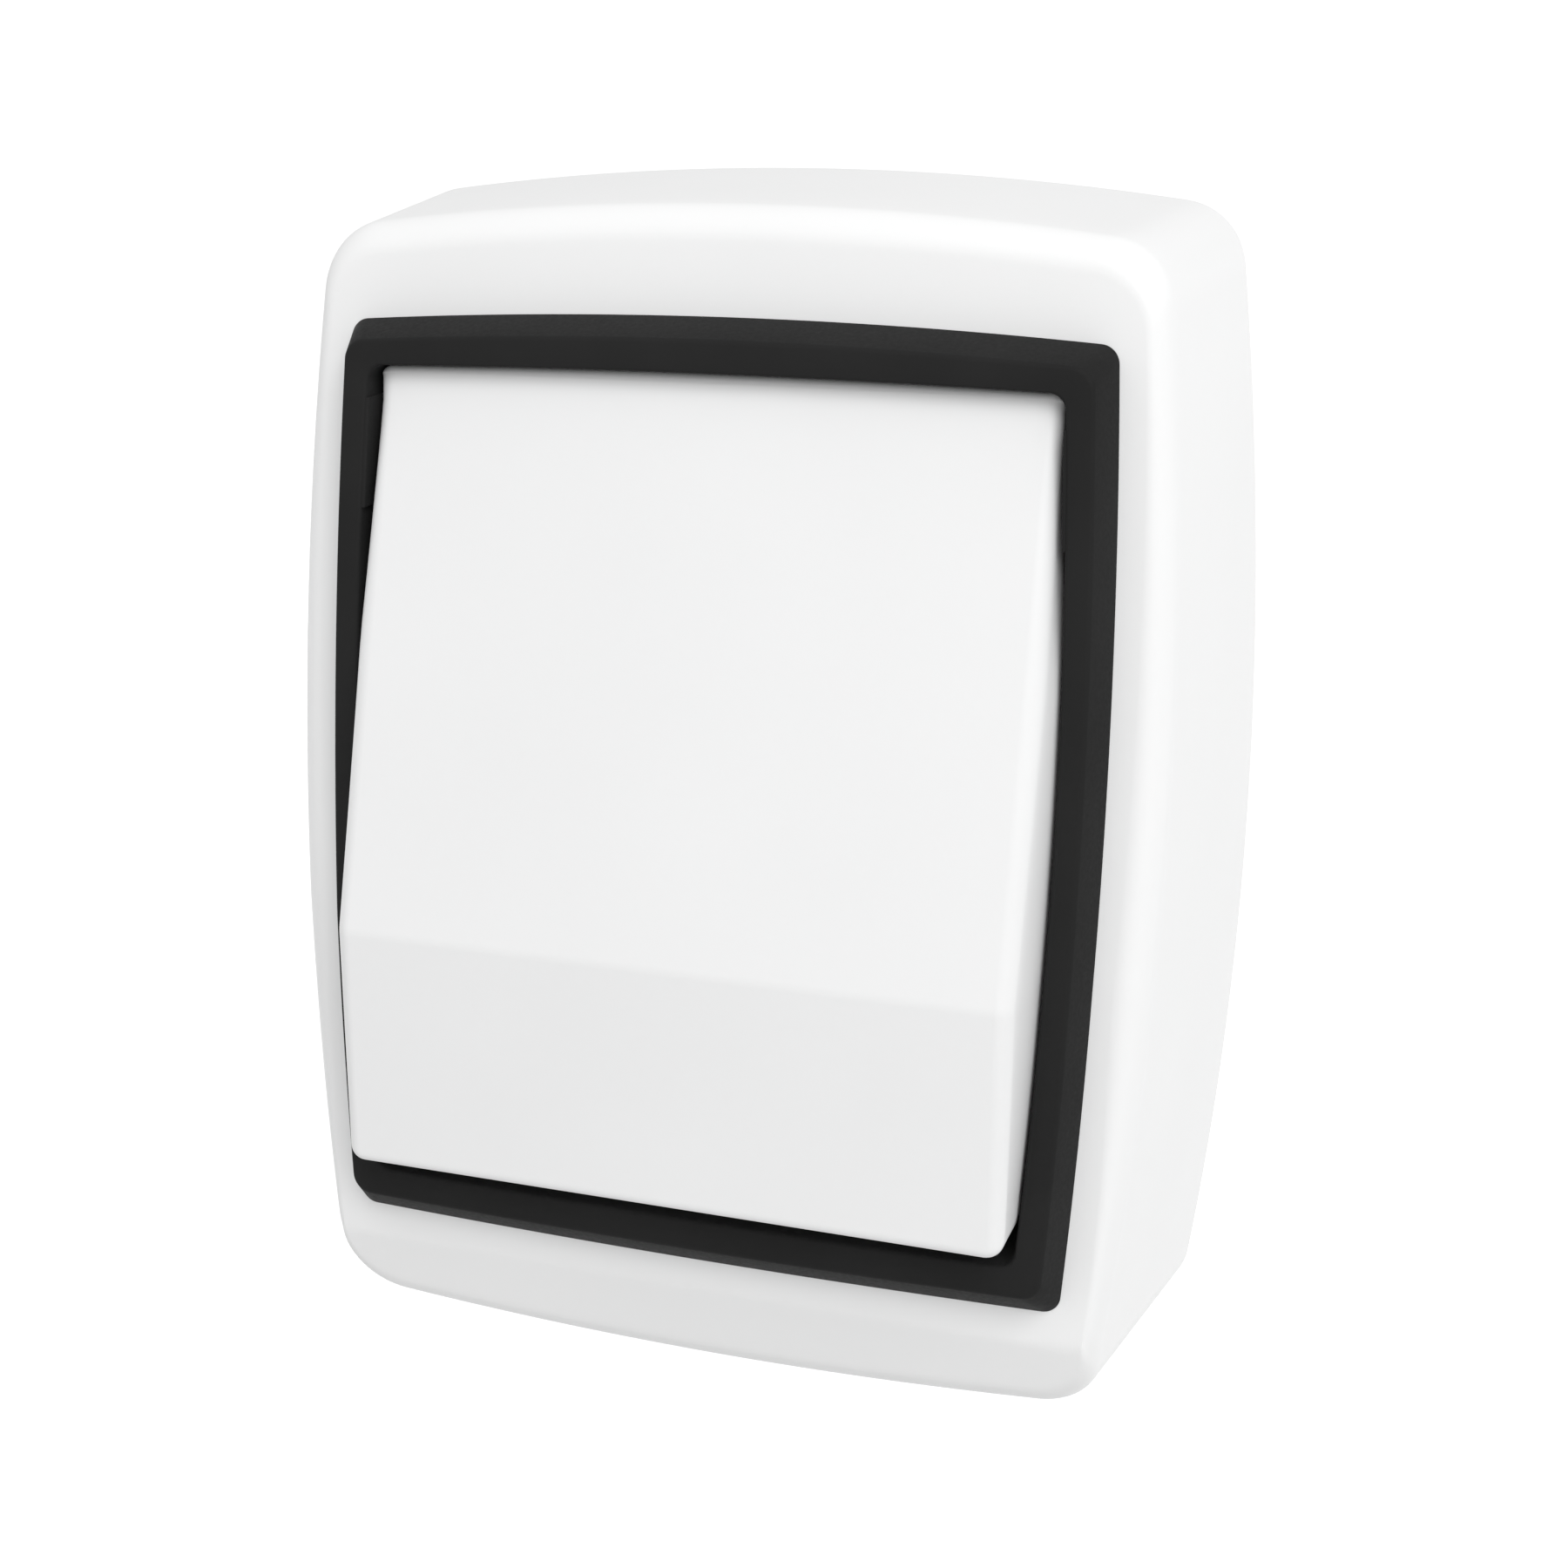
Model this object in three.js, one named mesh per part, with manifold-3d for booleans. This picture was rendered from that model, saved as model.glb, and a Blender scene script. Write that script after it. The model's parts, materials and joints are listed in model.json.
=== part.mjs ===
// Surface-mounted one-gang two-way rocker switch, in millimetres.
// +X is to the right, +Z is up and -Y is towards the person who presses the rocker.
// The origin is the centre of the back face, which lies on the wall at y = 0.
// The rocker is at rest with its top pressed in.
import * as THREE from "three";
import { mergeVertices } from "three/addons/utils/BufferGeometryUtils.js";
import Module from "manifold-3d";

const wasm = await Module();
wasm.setup();

// ---------------------------------------------------------------- driving dimensions

const GAP = 0.3; // clearance between neighbouring pieces
const PAST = 1; // how far a cutting tool runs past the face it cuts

// Outline of the housing on the wall: four bowed sides with rounded corners.
const HOUSING = {
  half: 35,
  top: 44.75,
  bottom: -44.75,
  sideRadius: 300,
  topRadius: 218,
  bottomRadius: 273,
  arcZ: -1.2,
  corner: 4.9,
};
const DRAFT = { side: 0.135, top: 0.099, bottom: 0.148 }; // inset per millimetre of depth
const WALL = 2; // cover side walls
const FRONT_WALL = 2.2; // cover front wall
const LOFT_DEPTH = 34; // deeper than the housing anywhere

// Front face seen from the side: two planes that meet in a crease, and a chin that falls back.
const FRONT = {
  creaseZ: -7,
  creaseDepth: 24.8,
  upperSlope: 0.1187,
  lowerSlope: 0.0786,
  chinZ: -33.4,
  chinSlope: 0.314,
};

// Raised frame round the rocker. Heights are measured from the cover's front face.
const FRAME_FOOT = {
  half: 28.2,
  top: 35.9,
  bottom: -31.2,
  sideRadius: 480,
  topRadius: 380,
  bottomRadius: 900,
  arcZ: 2.4,
  corner: 1.5,
};
const FRAME_RAISE = 3.1;
const FRAME_CHAMFER = { side: 1.1, top: 1.25, bottom: 2 };
const OPENING = {
  half: 25.35,
  top: 32.5,
  bottom: -26.5,
  sideRadius: 400,
  topRadius: 900,
  bottomRadius: 1500,
  arcZ: 4,
  corner: 1.4,
};
const SKIRT_WALL = 1.3;
// Apron that closes the opening behind the rocker, round the mechanism. Depth is at z = 0.
const APRON = { depth: 16.2, slope: 0.0857, thick: 1.2 };
const APRON_WINDOW = { ...OPENING, half: 20.8, top: 27.2, bottom: -15 };
const TAB = { x: 24.5, z: [22.4, 30], y: [-23.3, -16] };
const HOOK = { halfZ: 5, reach: 0.8, root: 0.6, z: 2.4, y: [3.5, 5.5] }; // y behind the front face
const COVER_HOLE_BACK = -8; // the hole for the frame is cut from here outwards

// Rocker profile in the Y-Z plane, top pressed in.
const ROCKER = {
  half: 24.1,
  top: 31.9,
  bottom: -23.6,
  topFrontY: -21.9,
  creaseY: -33.07,
  creaseZ: -6,
  bottomFrontY: -33.5,
  topBackY: -15,
  bottomBackY: -25,
  wall: 1.8,
  edge: 1, // rounding of the long edges
  openBack: 8, // how far the tool that hollows it runs out of its back
};
const PIVOT = { y: -19.5, z: 2.9 };
const ROCKER_REST_TILT = THREE.MathUtils.degToRad(-5.5); // from the middle of its swing

// Cradle and toggle pin, measured from the pivot with the cradle in the middle of its swing.
const CRADLE = {
  half: 14.4,
  plate: [-4.2, -2.4],
  plateZ: 9,
  cheek: 2,
  cheekZ: 3,
  cheekBack: 2.2,
  trunnionRadius: 1.5,
  trunnionEnd: 16.9,
  barrelRadius: 3,
  barrelBack: 5,
  boreRadius: 1.8,
  boreFront: -2.2,
  root: 0.5, // how far the barrel and the cheeks run into the plate
};
const LUG = { x: 9, half: 1.4, z: 2.2, y: [-10.2, -2] };
const RIB = { half: 8, thick: 1.2, z: 6, upperFront: -8.6, lowerFront: -11.6 };
const PLUNGER = { radius: 1.5, front: 2.2, tip: 8.3 };
const SPRING = { radius: 1.2, wire: 0.4, front: -1.7, back: 1.6, turns: 4.5, steps: 54 };

// Seesaw contact, measured from the line on which its back rests on the knife edge.
const KNIFE = { y: -10.1, z: PIVOT.z, half: 1.8, rootHalf: 0.9, edgeHalf: 0.2, root: 0.2 };
const BLADE = { half: 2.5, length: 8.5, thick: 0.8 };
const BLADE_REST_TILT = THREE.MathUtils.degToRad(8);
const RIVET = { z: 7.2, head: 1.5, shank: 0.8, hole: 1.1, headThick: 0.7 };
const FIXED_HEAD = [-7.55, -6.9];
const STRIP = { y: [-6.6, -5.8], half: 2, start: -2, end: 13 };

// Screw clamps that hold the wires: [name, x, z].
const CLAMPS = [
  ["common", 11, PIVOT.z],
  ["upper", -11, PIVOT.z + RIVET.z],
  ["lower", -11, PIVOT.z - RIVET.z],
];
const CLAMP = { half: 3.2, y: [-11, -4.6], window: [-9.6, -5.5], windowZ: 2.4 };

// Insulating body, bridge and carrier plate of the mechanism.
const BODY = { half: 17, halfZ: 16, front: -13.2, back: -3.2 };
const CAVITY = { half: 3.6, halfZ: 9.6, floor: -5.1 };
const BODY_SCREW_HOLE = { radius: 1.5, floor: -6.5 };
const POCKET = { half: 3.6, floor: -4.3 };
const WIRE_HOLE = { radius: 1.8, y: -7.9 };
const BRIDGE = { half: 19, halfZ: 17.4, y: [-15, -13.5], openHalf: 5, openZ: 9.8, access: 2.6 };
const TOWER = { x: [14.8, 17.3], halfZ: 3.5, front: -21.9 };
const YOKE = { half: 19.6, halfZ: 23.5, y: [-13.2, -12] };
const YOKE_SCREW_Z = 20.5; // from the pivot height
const BODY_SCREW_Z = 13;
const SHANK_HOLE = 1.8; // radius, for the yoke screws and the clamp screws

// Cheese-head screws: radii, head thickness, where the shank ends and how wide the slot is.
const CLAMP_SCREW = { head: 2.3, headThick: 1.5, shank: 1.5, end: -8, slot: 0.7 };
const BODY_SCREW = { head: 2.2, headThick: 1.3, shank: 1.2, end: -7, slot: 0.7 };
const YOKE_SCREW = { head: 2.6, headThick: 1.5, shank: 1.5, end: -6, slot: 0.9 };

// Base tray on the wall.
const BASE = { plate: 2, rim: 1.6, rimDepth: 10 };
const POST = { radius: 3.4, front: -11.7, pilotFloor: -5 };
const FIXING = { x: 22, z: 33, radius: 2.2, travel: 3 };
const TRAY_CLEARANCE = 0.4; // between the cover wall and the tray rim
const CATCH = { halfZ: 4, y: [-8, -6.5], reach: 0.7, clearance: 0.2, pocketInner: 25 };
// Turned grommet: radii across the cable, and y limits of its flange and its membrane.
const GROMMET = {
  z: 33.6,
  hole: 5.5,
  flange: 6.4,
  lip: 4.6,
  bore: 4,
  pilot: 1,
  front: -3.6,
  membrane: [-1.5, -0.9],
  back: -0.2,
};
const SHUTTER = { half: 6.7, depth: 8.7, back: -0.1, z: [-60, -36] }; // z runs past the bottom wall

const ROUND = 24; // sides of a turned piece

// ---------------------------------------------------------------- solids

const bare = (geometry) => {
  const plain = geometry.index ? geometry.toNonIndexed() : geometry.clone();
  return new THREE.BufferGeometry().setAttribute("position", plain.getAttribute("position"));
};

const solid = (geometry) => {
  const merged = mergeVertices(bare(geometry), 1e-4);
  return new wasm.Manifold(
    new wasm.Mesh({
      numProp: 3,
      vertProperties: merged.attributes.position.array,
      triVerts: new Uint32Array(merged.index.array),
    }),
  );
};

const geometryOf = (body) => {
  const mesh = body.getMesh();
  const geometry = new THREE.BufferGeometry();
  geometry.setAttribute("position", new THREE.BufferAttribute(mesh.vertProperties, 3));
  geometry.setIndex(new THREE.BufferAttribute(mesh.triVerts, 1));
  const flat = geometry.toNonIndexed();
  flat.computeVertexNormals();
  return flat;
};

const join = (first, ...others) => others.reduce((sum, other) => sum.add(other), first);
const cut = (first, ...tools) => tools.reduce((rest, tool) => rest.subtract(tool), first);

// Box between two limits on each axis.
const boxShape = ([x0, x1], [y0, y1], [z0, z1]) =>
  new THREE.BoxGeometry(x1 - x0, y1 - y0, z1 - z0).translate(
    (x0 + x1) / 2,
    (y0 + y1) / 2,
    (z0 + z1) / 2,
  );
const box = (xs, ys, zs) => solid(boxShape(xs, ys, zs));

const around = (centre, half) => [centre - half, centre + half];

const rodAlongY = (radius, [y0, y1], x = 0, z = 0) =>
  solid(new THREE.CylinderGeometry(radius, radius, y1 - y0, ROUND).translate(x, (y0 + y1) / 2, z));

const rodAlongX = (radius, [x0, x1], y = 0, z = 0) =>
  solid(
    new THREE.CylinderGeometry(radius, radius, x1 - x0, ROUND)
      .rotateZ(Math.PI / 2)
      .translate((x0 + x1) / 2, y, z),
  );

// Prism along X with the outline (y, z) given as a THREE.Shape.
const prismAlongX = (shape, [x0, x1], options = {}) => {
  const geometry = new THREE.ExtrudeGeometry(shape, {
    depth: x1 - x0,
    bevelEnabled: false,
    ...options,
  });
  const axes = new THREE.Matrix4().makeBasis(
    new THREE.Vector3(0, 1, 0),
    new THREE.Vector3(0, 0, 1),
    new THREE.Vector3(1, 0, 0),
  );
  return geometry.applyMatrix4(axes).translate(x0, 0, 0);
};

const shapeOf = (points) => new THREE.Shape(points.map(([y, z]) => new THREE.Vector2(y, z)));

// ---------------------------------------------------------------- bowed outlines

const SIDE_STEPS = 10;
const END_STEPS = 8;
const CORNER_STEPS = 3;

const arc = (cx, cz, radius, from, to, steps) =>
  new THREE.EllipseCurve(cx, cz, radius, radius, from, to, false).getPoints(steps);

// Centre of the corner circle that touches the inside of a side arc and of an end arc.
const cornerCentre = (side, sideRadius, end, endRadius, upwards) => {
  const apart = side.distanceTo(end);
  const along = (sideRadius ** 2 - endRadius ** 2 + apart ** 2) / (2 * apart);
  const across = Math.sqrt(sideRadius ** 2 - along ** 2);
  const unit = end.clone().sub(side).divideScalar(apart);
  const normal = new THREE.Vector2(-unit.y, unit.x);
  const foot = side.clone().addScaledVector(unit, along);
  const options = [foot.clone().addScaledVector(normal, across), foot.addScaledVector(normal, -across)];
  return options.find((p) => p.x > 0 && p.y > 0 === upwards);
};

// Points of the outline as (x, z), anticlockwise as the front is seen, always the same number.
const barrel = (spec) => {
  const side = new THREE.Vector2(spec.half - spec.sideRadius, spec.arcZ);
  const top = new THREE.Vector2(0, spec.top - spec.topRadius);
  const bottom = new THREE.Vector2(0, spec.bottom + spec.bottomRadius);
  const inner = spec.sideRadius - spec.corner;
  const upper = cornerCentre(side, inner, top, spec.topRadius - spec.corner, true);
  const lower = cornerCentre(side, inner, bottom, spec.bottomRadius - spec.corner, false);
  const angle = (from, to) => Math.atan2(to.y - from.y, to.x - from.x);
  const topAngle = angle(top, upper);
  const bottomAngle = angle(bottom, lower);
  const right = [
    ...arc(side.x, side.y, spec.sideRadius, angle(side, lower), angle(side, upper), SIDE_STEPS),
    ...arc(upper.x, upper.y, spec.corner, angle(side, upper), topAngle, CORNER_STEPS).slice(1),
    ...arc(top.x, top.y, spec.topRadius, topAngle, Math.PI / 2, END_STEPS / 2).slice(1, -1),
  ];
  const below = [
    ...arc(bottom.x, bottom.y, spec.bottomRadius, -Math.PI / 2, bottomAngle, END_STEPS / 2).slice(1),
    ...arc(lower.x, lower.y, spec.corner, bottomAngle, angle(side, lower), CORNER_STEPS).slice(1, -1),
  ];
  const reflect = (points) => points.map((p) => new THREE.Vector2(-p.x, p.y)).reverse();
  return [
    ...right,
    new THREE.Vector2(0, spec.top),
    ...reflect(right),
    ...reflect(below),
    new THREE.Vector2(0, spec.bottom),
    ...below,
  ];
};

const insetSpec = (spec, side, top = side, bottom = side) => ({
  ...spec,
  half: spec.half - side,
  top: spec.top - top,
  bottom: spec.bottom + bottom,
  corner: Math.max(spec.corner - Math.min(side, top, bottom), 0.5),
});

const housingAt = (depth, inset) => ({
  ...insetSpec(HOUSING, inset),
  half: HOUSING.half - inset - DRAFT.side * depth,
  top: HOUSING.top - inset - DRAFT.top * depth,
  bottom: HOUSING.bottom + inset + DRAFT.bottom * depth,
});

const faceDepth = (z) => {
  const upper = FRONT.creaseDepth - FRONT.upperSlope * (z - FRONT.creaseZ);
  const lower = FRONT.creaseDepth - FRONT.lowerSlope * (z - FRONT.creaseZ);
  return z > FRONT.creaseZ ? upper : lower;
};

const chinDepth = (z) => faceDepth(FRONT.chinZ) - FRONT.chinSlope * (FRONT.chinZ - z);

// Rings of (x, z) points, each with its own y for every point, joined in order.
const skin = (rings, closed) => {
  const count = rings[0].length;
  const positions = rings.flatMap((ring) => ring.flatMap((p) => [p.x, p.y, p.z]));
  const index = [];
  const joins = closed ? rings.length : rings.length - 1;
  for (let r = 0; r < joins; r++) {
    const near = r * count;
    const far = ((r + 1) % rings.length) * count;
    for (let i = 0; i < count; i++) {
      const next = (i + 1) % count;
      index.push(near + i, near + next, far + next, near + i, far + next, far + i);
    }
  }
  if (!closed) {
    const last = (rings.length - 1) * count;
    const flat = (ring) => ring.map((p) => new THREE.Vector2(p.x, p.z));
    for (const [a, b, c] of THREE.ShapeUtils.triangulateShape(flat(rings[0]), []))
      index.push(a, c, b);
    for (const [a, b, c] of THREE.ShapeUtils.triangulateShape(flat(rings.at(-1)), []))
      index.push(last + a, last + b, last + c);
  }
  const geometry = new THREE.BufferGeometry();
  geometry.setAttribute("position", new THREE.Float32BufferAttribute(positions, 3));
  geometry.setIndex(index);
  return solid(geometry);
};

const ringAt = (spec, yOf) => barrel(spec).map((p) => new THREE.Vector3(p.x, yOf(p.y), p.y));

// Tapered block between two depths, shaped like the housing less an inset.
const housingBlock = (inset, backY, depth) =>
  skin(
    [
      ringAt(housingAt(-backY, inset), () => backY),
      ringAt(housingAt(depth, inset), () => -depth),
    ],
    false,
  );

// Everything behind the front face, moved back by an offset.
const FAR = 60; // beyond the housing on every side
const behindFront = (offset) =>
  solid(
    prismAlongX(
      shapeOf([
        [2 * PAST, -FAR],
        [2 * PAST, FAR],
        [offset - faceDepth(FAR), FAR],
        [offset - FRONT.creaseDepth, FRONT.creaseZ],
        [offset - faceDepth(FRONT.chinZ), FRONT.chinZ],
        [offset - chinDepth(-FAR), -FAR],
      ]),
      around(0, FAR),
    ),
  );

// ---------------------------------------------------------------- housing

const coverShell = () =>
  cut(
    housingBlock(0, 0, LOFT_DEPTH).intersect(behindFront(0)),
    housingBlock(WALL, PAST, LOFT_DEPTH).intersect(behindFront(FRONT_WALL)),
  );

const sorted = (pair) => pair.sort((a, b) => a - b);
const mirrored = (sign, [x0, x1]) => sorted([sign * x0, sign * x1]);

const frontCover = () => {
  const hole = insetSpec(OPENING, -SKIRT_WALL - GAP);
  const back = ringAt(hole, () => COVER_HOLE_BACK);
  const opening = skin([back, ringAt(hole, () => -LOFT_DEPTH)], false);
  const wallX = HOUSING.half + DRAFT.side * CATCH.y[1] - WALL;
  const pockets = [-1, 1].map((sign) =>
    box(
      mirrored(sign, [CATCH.pocketInner, wallX + CATCH.reach + CATCH.clearance]),
      [CATCH.y[0] - GAP, CATCH.y[1] + GAP],
      around(0, CATCH.halfZ + GAP),
    ),
  );
  const entry = box(
    around(0, SHUTTER.half + GAP),
    [-SHUTTER.depth - GAP, 2 * PAST],
    SHUTTER.z,
  );
  return cut(coverShell(), opening, entry, ...pockets);
};

const entryShutter = () => {
  const inside = box(around(0, SHUTTER.half), [-SHUTTER.depth, SHUTTER.back], SHUTTER.z);
  return coverShell().intersect(inside);
};

const bezelFrame = () => {
  const above = (height) => (z) => -(faceDepth(z) + height);
  const apronFront = (z) => -(APRON.depth - APRON.slope * z);
  const apronBack = (z) => apronFront(z) + APRON.thick;
  const face = insetSpec(FRAME_FOOT, FRAME_CHAMFER.side, FRAME_CHAMFER.top, FRAME_CHAMFER.bottom);
  const skirtOuter = insetSpec(OPENING, -SKIRT_WALL);
  const ring = skin(
    [
      ringAt(FRAME_FOOT, above(GAP)),
      ringAt(face, above(FRAME_RAISE)),
      ringAt(OPENING, above(FRAME_RAISE)),
      ringAt(OPENING, apronFront),
      ringAt(APRON_WINDOW, apronFront),
      ringAt(APRON_WINDOW, apronBack),
      ringAt(skirtOuter, apronBack),
      ringAt(skirtOuter, above(GAP)),
    ],
    true,
  );
  const skirtX = OPENING.half + SKIRT_WALL;
  const hookY = HOOK.y.map((behind) => behind - faceDepth(HOOK.z));
  const details = [-1, 1].flatMap((sign) => [
    box(mirrored(sign, [TAB.x, TAB.x + SKIRT_WALL]), TAB.y, TAB.z),
    box(
      mirrored(sign, [skirtX - HOOK.root, skirtX + HOOK.reach]),
      hookY,
      around(HOOK.z, HOOK.halfZ),
    ),
  ]);
  return join(ring, ...details);
};

const pilotHoles = () =>
  [-1, 1].map((sign) =>
    rodAlongY(SHANK_HOLE, [POST.front - PAST, POST.pilotFloor], 0, PIVOT.z + sign * YOKE_SCREW_Z),
  );

const fixingSlot = (x, z) => {
  const ends = around(x, FIXING.travel / 2).map((cx) =>
    rodAlongY(FIXING.radius, [-BASE.plate - PAST, PAST], cx, z),
  );
  return join(
    box(around(x, FIXING.travel / 2), [-BASE.plate - PAST, PAST], around(z, FIXING.radius)),
    ...ends,
  );
};

const baseBox = () => {
  const inset = WALL + TRAY_CLEARANCE;
  const tray = cut(
    housingBlock(inset, 0, BASE.rimDepth),
    housingBlock(inset + BASE.rim, -BASE.plate, BASE.rimDepth + PAST),
  );
  const posts = [-1, 1].map((sign) =>
    rodAlongY(POST.radius, [POST.front, -BASE.plate / 2], 0, PIVOT.z + sign * YOKE_SCREW_Z),
  );
  const catches = [-1, 1].map((sign) => {
    const rimX = HOUSING.half - inset + DRAFT.side * CATCH.y[1];
    const xs = mirrored(sign, [rimX - BASE.rim / 2, rimX + CATCH.reach]);
    return box(xs, CATCH.y, around(0, CATCH.halfZ));
  });
  const slots = [-1, 1].flatMap((sx) =>
    [-1, 1].map((sz) => fixingSlot(sx * FIXING.x, sz * FIXING.z)),
  );
  const notch = box(
    around(0, SHUTTER.half + 2 * GAP),
    [-BASE.rimDepth - PAST, -BASE.plate],
    SHUTTER.z,
  );
  const cableHole = rodAlongY(GROMMET.hole, [-BASE.plate - PAST, PAST], 0, GROMMET.z);
  return cut(join(tray, ...posts, ...catches), ...slots, notch, cableHole, ...pilotHoles());
};

// Rubber grommet turned about the cable axis: flange, neck and a thin membrane with a pilot hole.
const cableGrommet = () => {
  const neck = GROMMET.hole - GAP;
  const profile = [
    [GROMMET.pilot, GROMMET.membrane[0]],
    [GROMMET.bore, GROMMET.membrane[0]],
    [GROMMET.lip, GROMMET.front],
    [GROMMET.flange, GROMMET.front],
    [GROMMET.flange, -BASE.plate - GAP],
    [neck, -BASE.plate - GAP],
    [neck, GROMMET.back],
    [GROMMET.bore, GROMMET.back],
    [GROMMET.bore, GROMMET.membrane[1]],
    [GROMMET.pilot, GROMMET.membrane[1]],
    [GROMMET.pilot, GROMMET.membrane[0]],
  ].map(([radius, y]) => new THREE.Vector2(radius, y));
  return solid(new THREE.LatheGeometry(profile, ROUND).translate(0, 0, GROMMET.z));
};

// ---------------------------------------------------------------- rocker and cradle

// Outline of the rocker block, moved in by an inset; the back edge is moved out by the same tool.
const rockerProfile = (inset, backExtra) => {
  const upper = new THREE.Vector2(ROCKER.creaseY - ROCKER.topFrontY, ROCKER.creaseZ - ROCKER.top);
  const upperShift = (inset * upper.length()) / -upper.y;
  const slope = upper.x / upper.y;
  const top = ROCKER.top - inset;
  const bottom = ROCKER.bottom + inset;
  return [
    [ROCKER.topBackY + backExtra, top],
    [ROCKER.topFrontY + upperShift - slope * inset, top],
    [ROCKER.creaseY + (upperShift + inset) / 2, ROCKER.creaseZ],
    [ROCKER.bottomFrontY + inset, bottom],
    [ROCKER.bottomBackY + backExtra, bottom],
  ];
};

// The same outline with each front corner replaced by a small curve.
const roundedShape = (points, radius) => {
  const shape = new THREE.Shape();
  const corners = points.map(([y, z]) => new THREE.Vector2(y, z));
  corners.forEach((corner, i) => {
    const before = corners.at(i - 1);
    const after = corners[(i + 1) % corners.length];
    const start = corner.clone().lerp(before, radius / corner.distanceTo(before));
    const end = corner.clone().lerp(after, radius / corner.distanceTo(after));
    if (i === 0) shape.moveTo(start.x, start.y);
    else shape.lineTo(start.x, start.y);
    shape.quadraticCurveTo(corner.x, corner.y, end.x, end.y);
  });
  shape.closePath();
  return shape;
};

const restMatrix = new THREE.Matrix4()
  .makeTranslation(0, PIVOT.y, PIVOT.z)
  .multiply(new THREE.Matrix4().makeRotationX(ROCKER_REST_TILT));

const restingBox = (xs, ys, zs) => solid(boxShape(xs, ys, zs).applyMatrix4(restMatrix));

const rockerCap = () => {
  const block = solid(
    prismAlongX(
      roundedShape(rockerProfile(ROCKER.edge, 0), ROCKER.edge),
      around(0, ROCKER.half - ROCKER.edge),
      {
        bevelEnabled: true,
        bevelThickness: ROCKER.edge,
        bevelSize: ROCKER.edge,
        bevelSegments: 3,
        curveSegments: 3,
      },
    ),
  );
  const hollow = solid(
    prismAlongX(
      shapeOf(rockerProfile(ROCKER.wall, ROCKER.openBack)),
      around(0, ROCKER.half - ROCKER.wall),
    ),
  );
  const ribBack = CRADLE.plate[0] - GAP;
  const ribX = around(0, RIB.half);
  const supports = [
    restingBox(around(-LUG.x, LUG.half), LUG.y, around(0, LUG.z)),
    restingBox(around(LUG.x, LUG.half), LUG.y, around(0, LUG.z)),
    restingBox(ribX, [RIB.upperFront, ribBack], around(RIB.z, RIB.thick / 2)),
    restingBox(ribX, [RIB.lowerFront, ribBack], around(-RIB.z, RIB.thick / 2)),
  ];
  return join(cut(block, hollow), ...supports);
};

const rockerCradle = () => {
  const plate = box(around(0, CRADLE.half), CRADLE.plate, around(0, CRADLE.plateZ));
  const root = CRADLE.plate[1] - CRADLE.root;
  const sleeve = rodAlongY(CRADLE.barrelRadius, [root, CRADLE.barrelBack]);
  const ends = [-1, 1].flatMap((sign) => {
    const cheek = mirrored(sign, [CRADLE.half - CRADLE.cheek, CRADLE.half]);
    const pin = mirrored(sign, [CRADLE.half - CRADLE.cheek / 2, CRADLE.trunnionEnd]);
    return [
      box(cheek, [root, CRADLE.cheekBack], around(0, CRADLE.cheekZ)),
      rodAlongX(CRADLE.trunnionRadius, pin),
    ];
  });
  const windows = [-1, 1].map((sign) =>
    box(
      around(sign * LUG.x, LUG.half + GAP),
      [CRADLE.plate[0] - PAST, CRADLE.plate[1] + PAST],
      around(0, LUG.z + GAP),
    ),
  );
  const bore = rodAlongY(CRADLE.boreRadius, [CRADLE.boreFront, CRADLE.barrelBack + PAST]);
  return cut(join(plate, sleeve, ...ends), ...windows, bore);
};

// Toggle pin: a turned rod with a domed tip that presses on the seesaw.
const togglePin = () => {
  const domeSteps = 5;
  const dome = arc(0, PLUNGER.tip - PLUNGER.radius, PLUNGER.radius, 0, Math.PI / 2, domeSteps);
  const profile = [
    new THREE.Vector2(0, PLUNGER.front),
    new THREE.Vector2(PLUNGER.radius, PLUNGER.front),
    ...dome.slice(0, -1),
    new THREE.Vector2(0, PLUNGER.tip),
  ];
  return solid(new THREE.LatheGeometry(profile, ROUND));
};

class Helix extends THREE.Curve {
  getPoint(t, target = new THREE.Vector3()) {
    const turn = t * SPRING.turns * 2 * Math.PI;
    const y = THREE.MathUtils.lerp(SPRING.front, SPRING.back, t);
    return target.set(SPRING.radius * Math.cos(turn), y, SPRING.radius * Math.sin(turn));
  }
}

const plungerSpring = () => {
  const section = new THREE.Shape().absarc(0, 0, SPRING.wire / 2, 0, 2 * Math.PI);
  return solid(
    new THREE.ExtrudeGeometry(section, {
      steps: SPRING.steps,
      curveSegments: 3,
      extrudePath: new Helix(),
      bevelEnabled: false,
    }),
  );
};

// ---------------------------------------------------------------- contacts

const contactBlade = () =>
  cut(
    box(around(0, BLADE.half), [-BLADE.thick, 0], around(0, BLADE.length)),
    ...[-1, 1].map((sign) =>
      rodAlongY(RIVET.hole, [-BLADE.thick - PAST, PAST], 0, sign * RIVET.z),
    ),
  );

const movingRivet = (sign) =>
  join(
    rodAlongY(RIVET.head, [GAP, GAP + RIVET.headThick], 0, sign * RIVET.z),
    rodAlongY(RIVET.shank, [-BLADE.thick - GAP, GAP + RIVET.headThick / 2], 0, sign * RIVET.z),
  );

const fixedRivet = (sign) => {
  const z = PIVOT.z + sign * RIVET.z;
  return join(
    rodAlongY(RIVET.head, FIXED_HEAD, 0, z),
    rodAlongY(RIVET.shank, [FIXED_HEAD[0] + RIVET.headThick / 2, STRIP.y[1] + GAP], 0, z),
  );
};

// Strip from the centre of the body to a clamp on the side given by the sign.
const strip = (sign, z) =>
  box(mirrored(sign, [STRIP.start, STRIP.end]), STRIP.y, around(z, STRIP.half));

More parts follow.
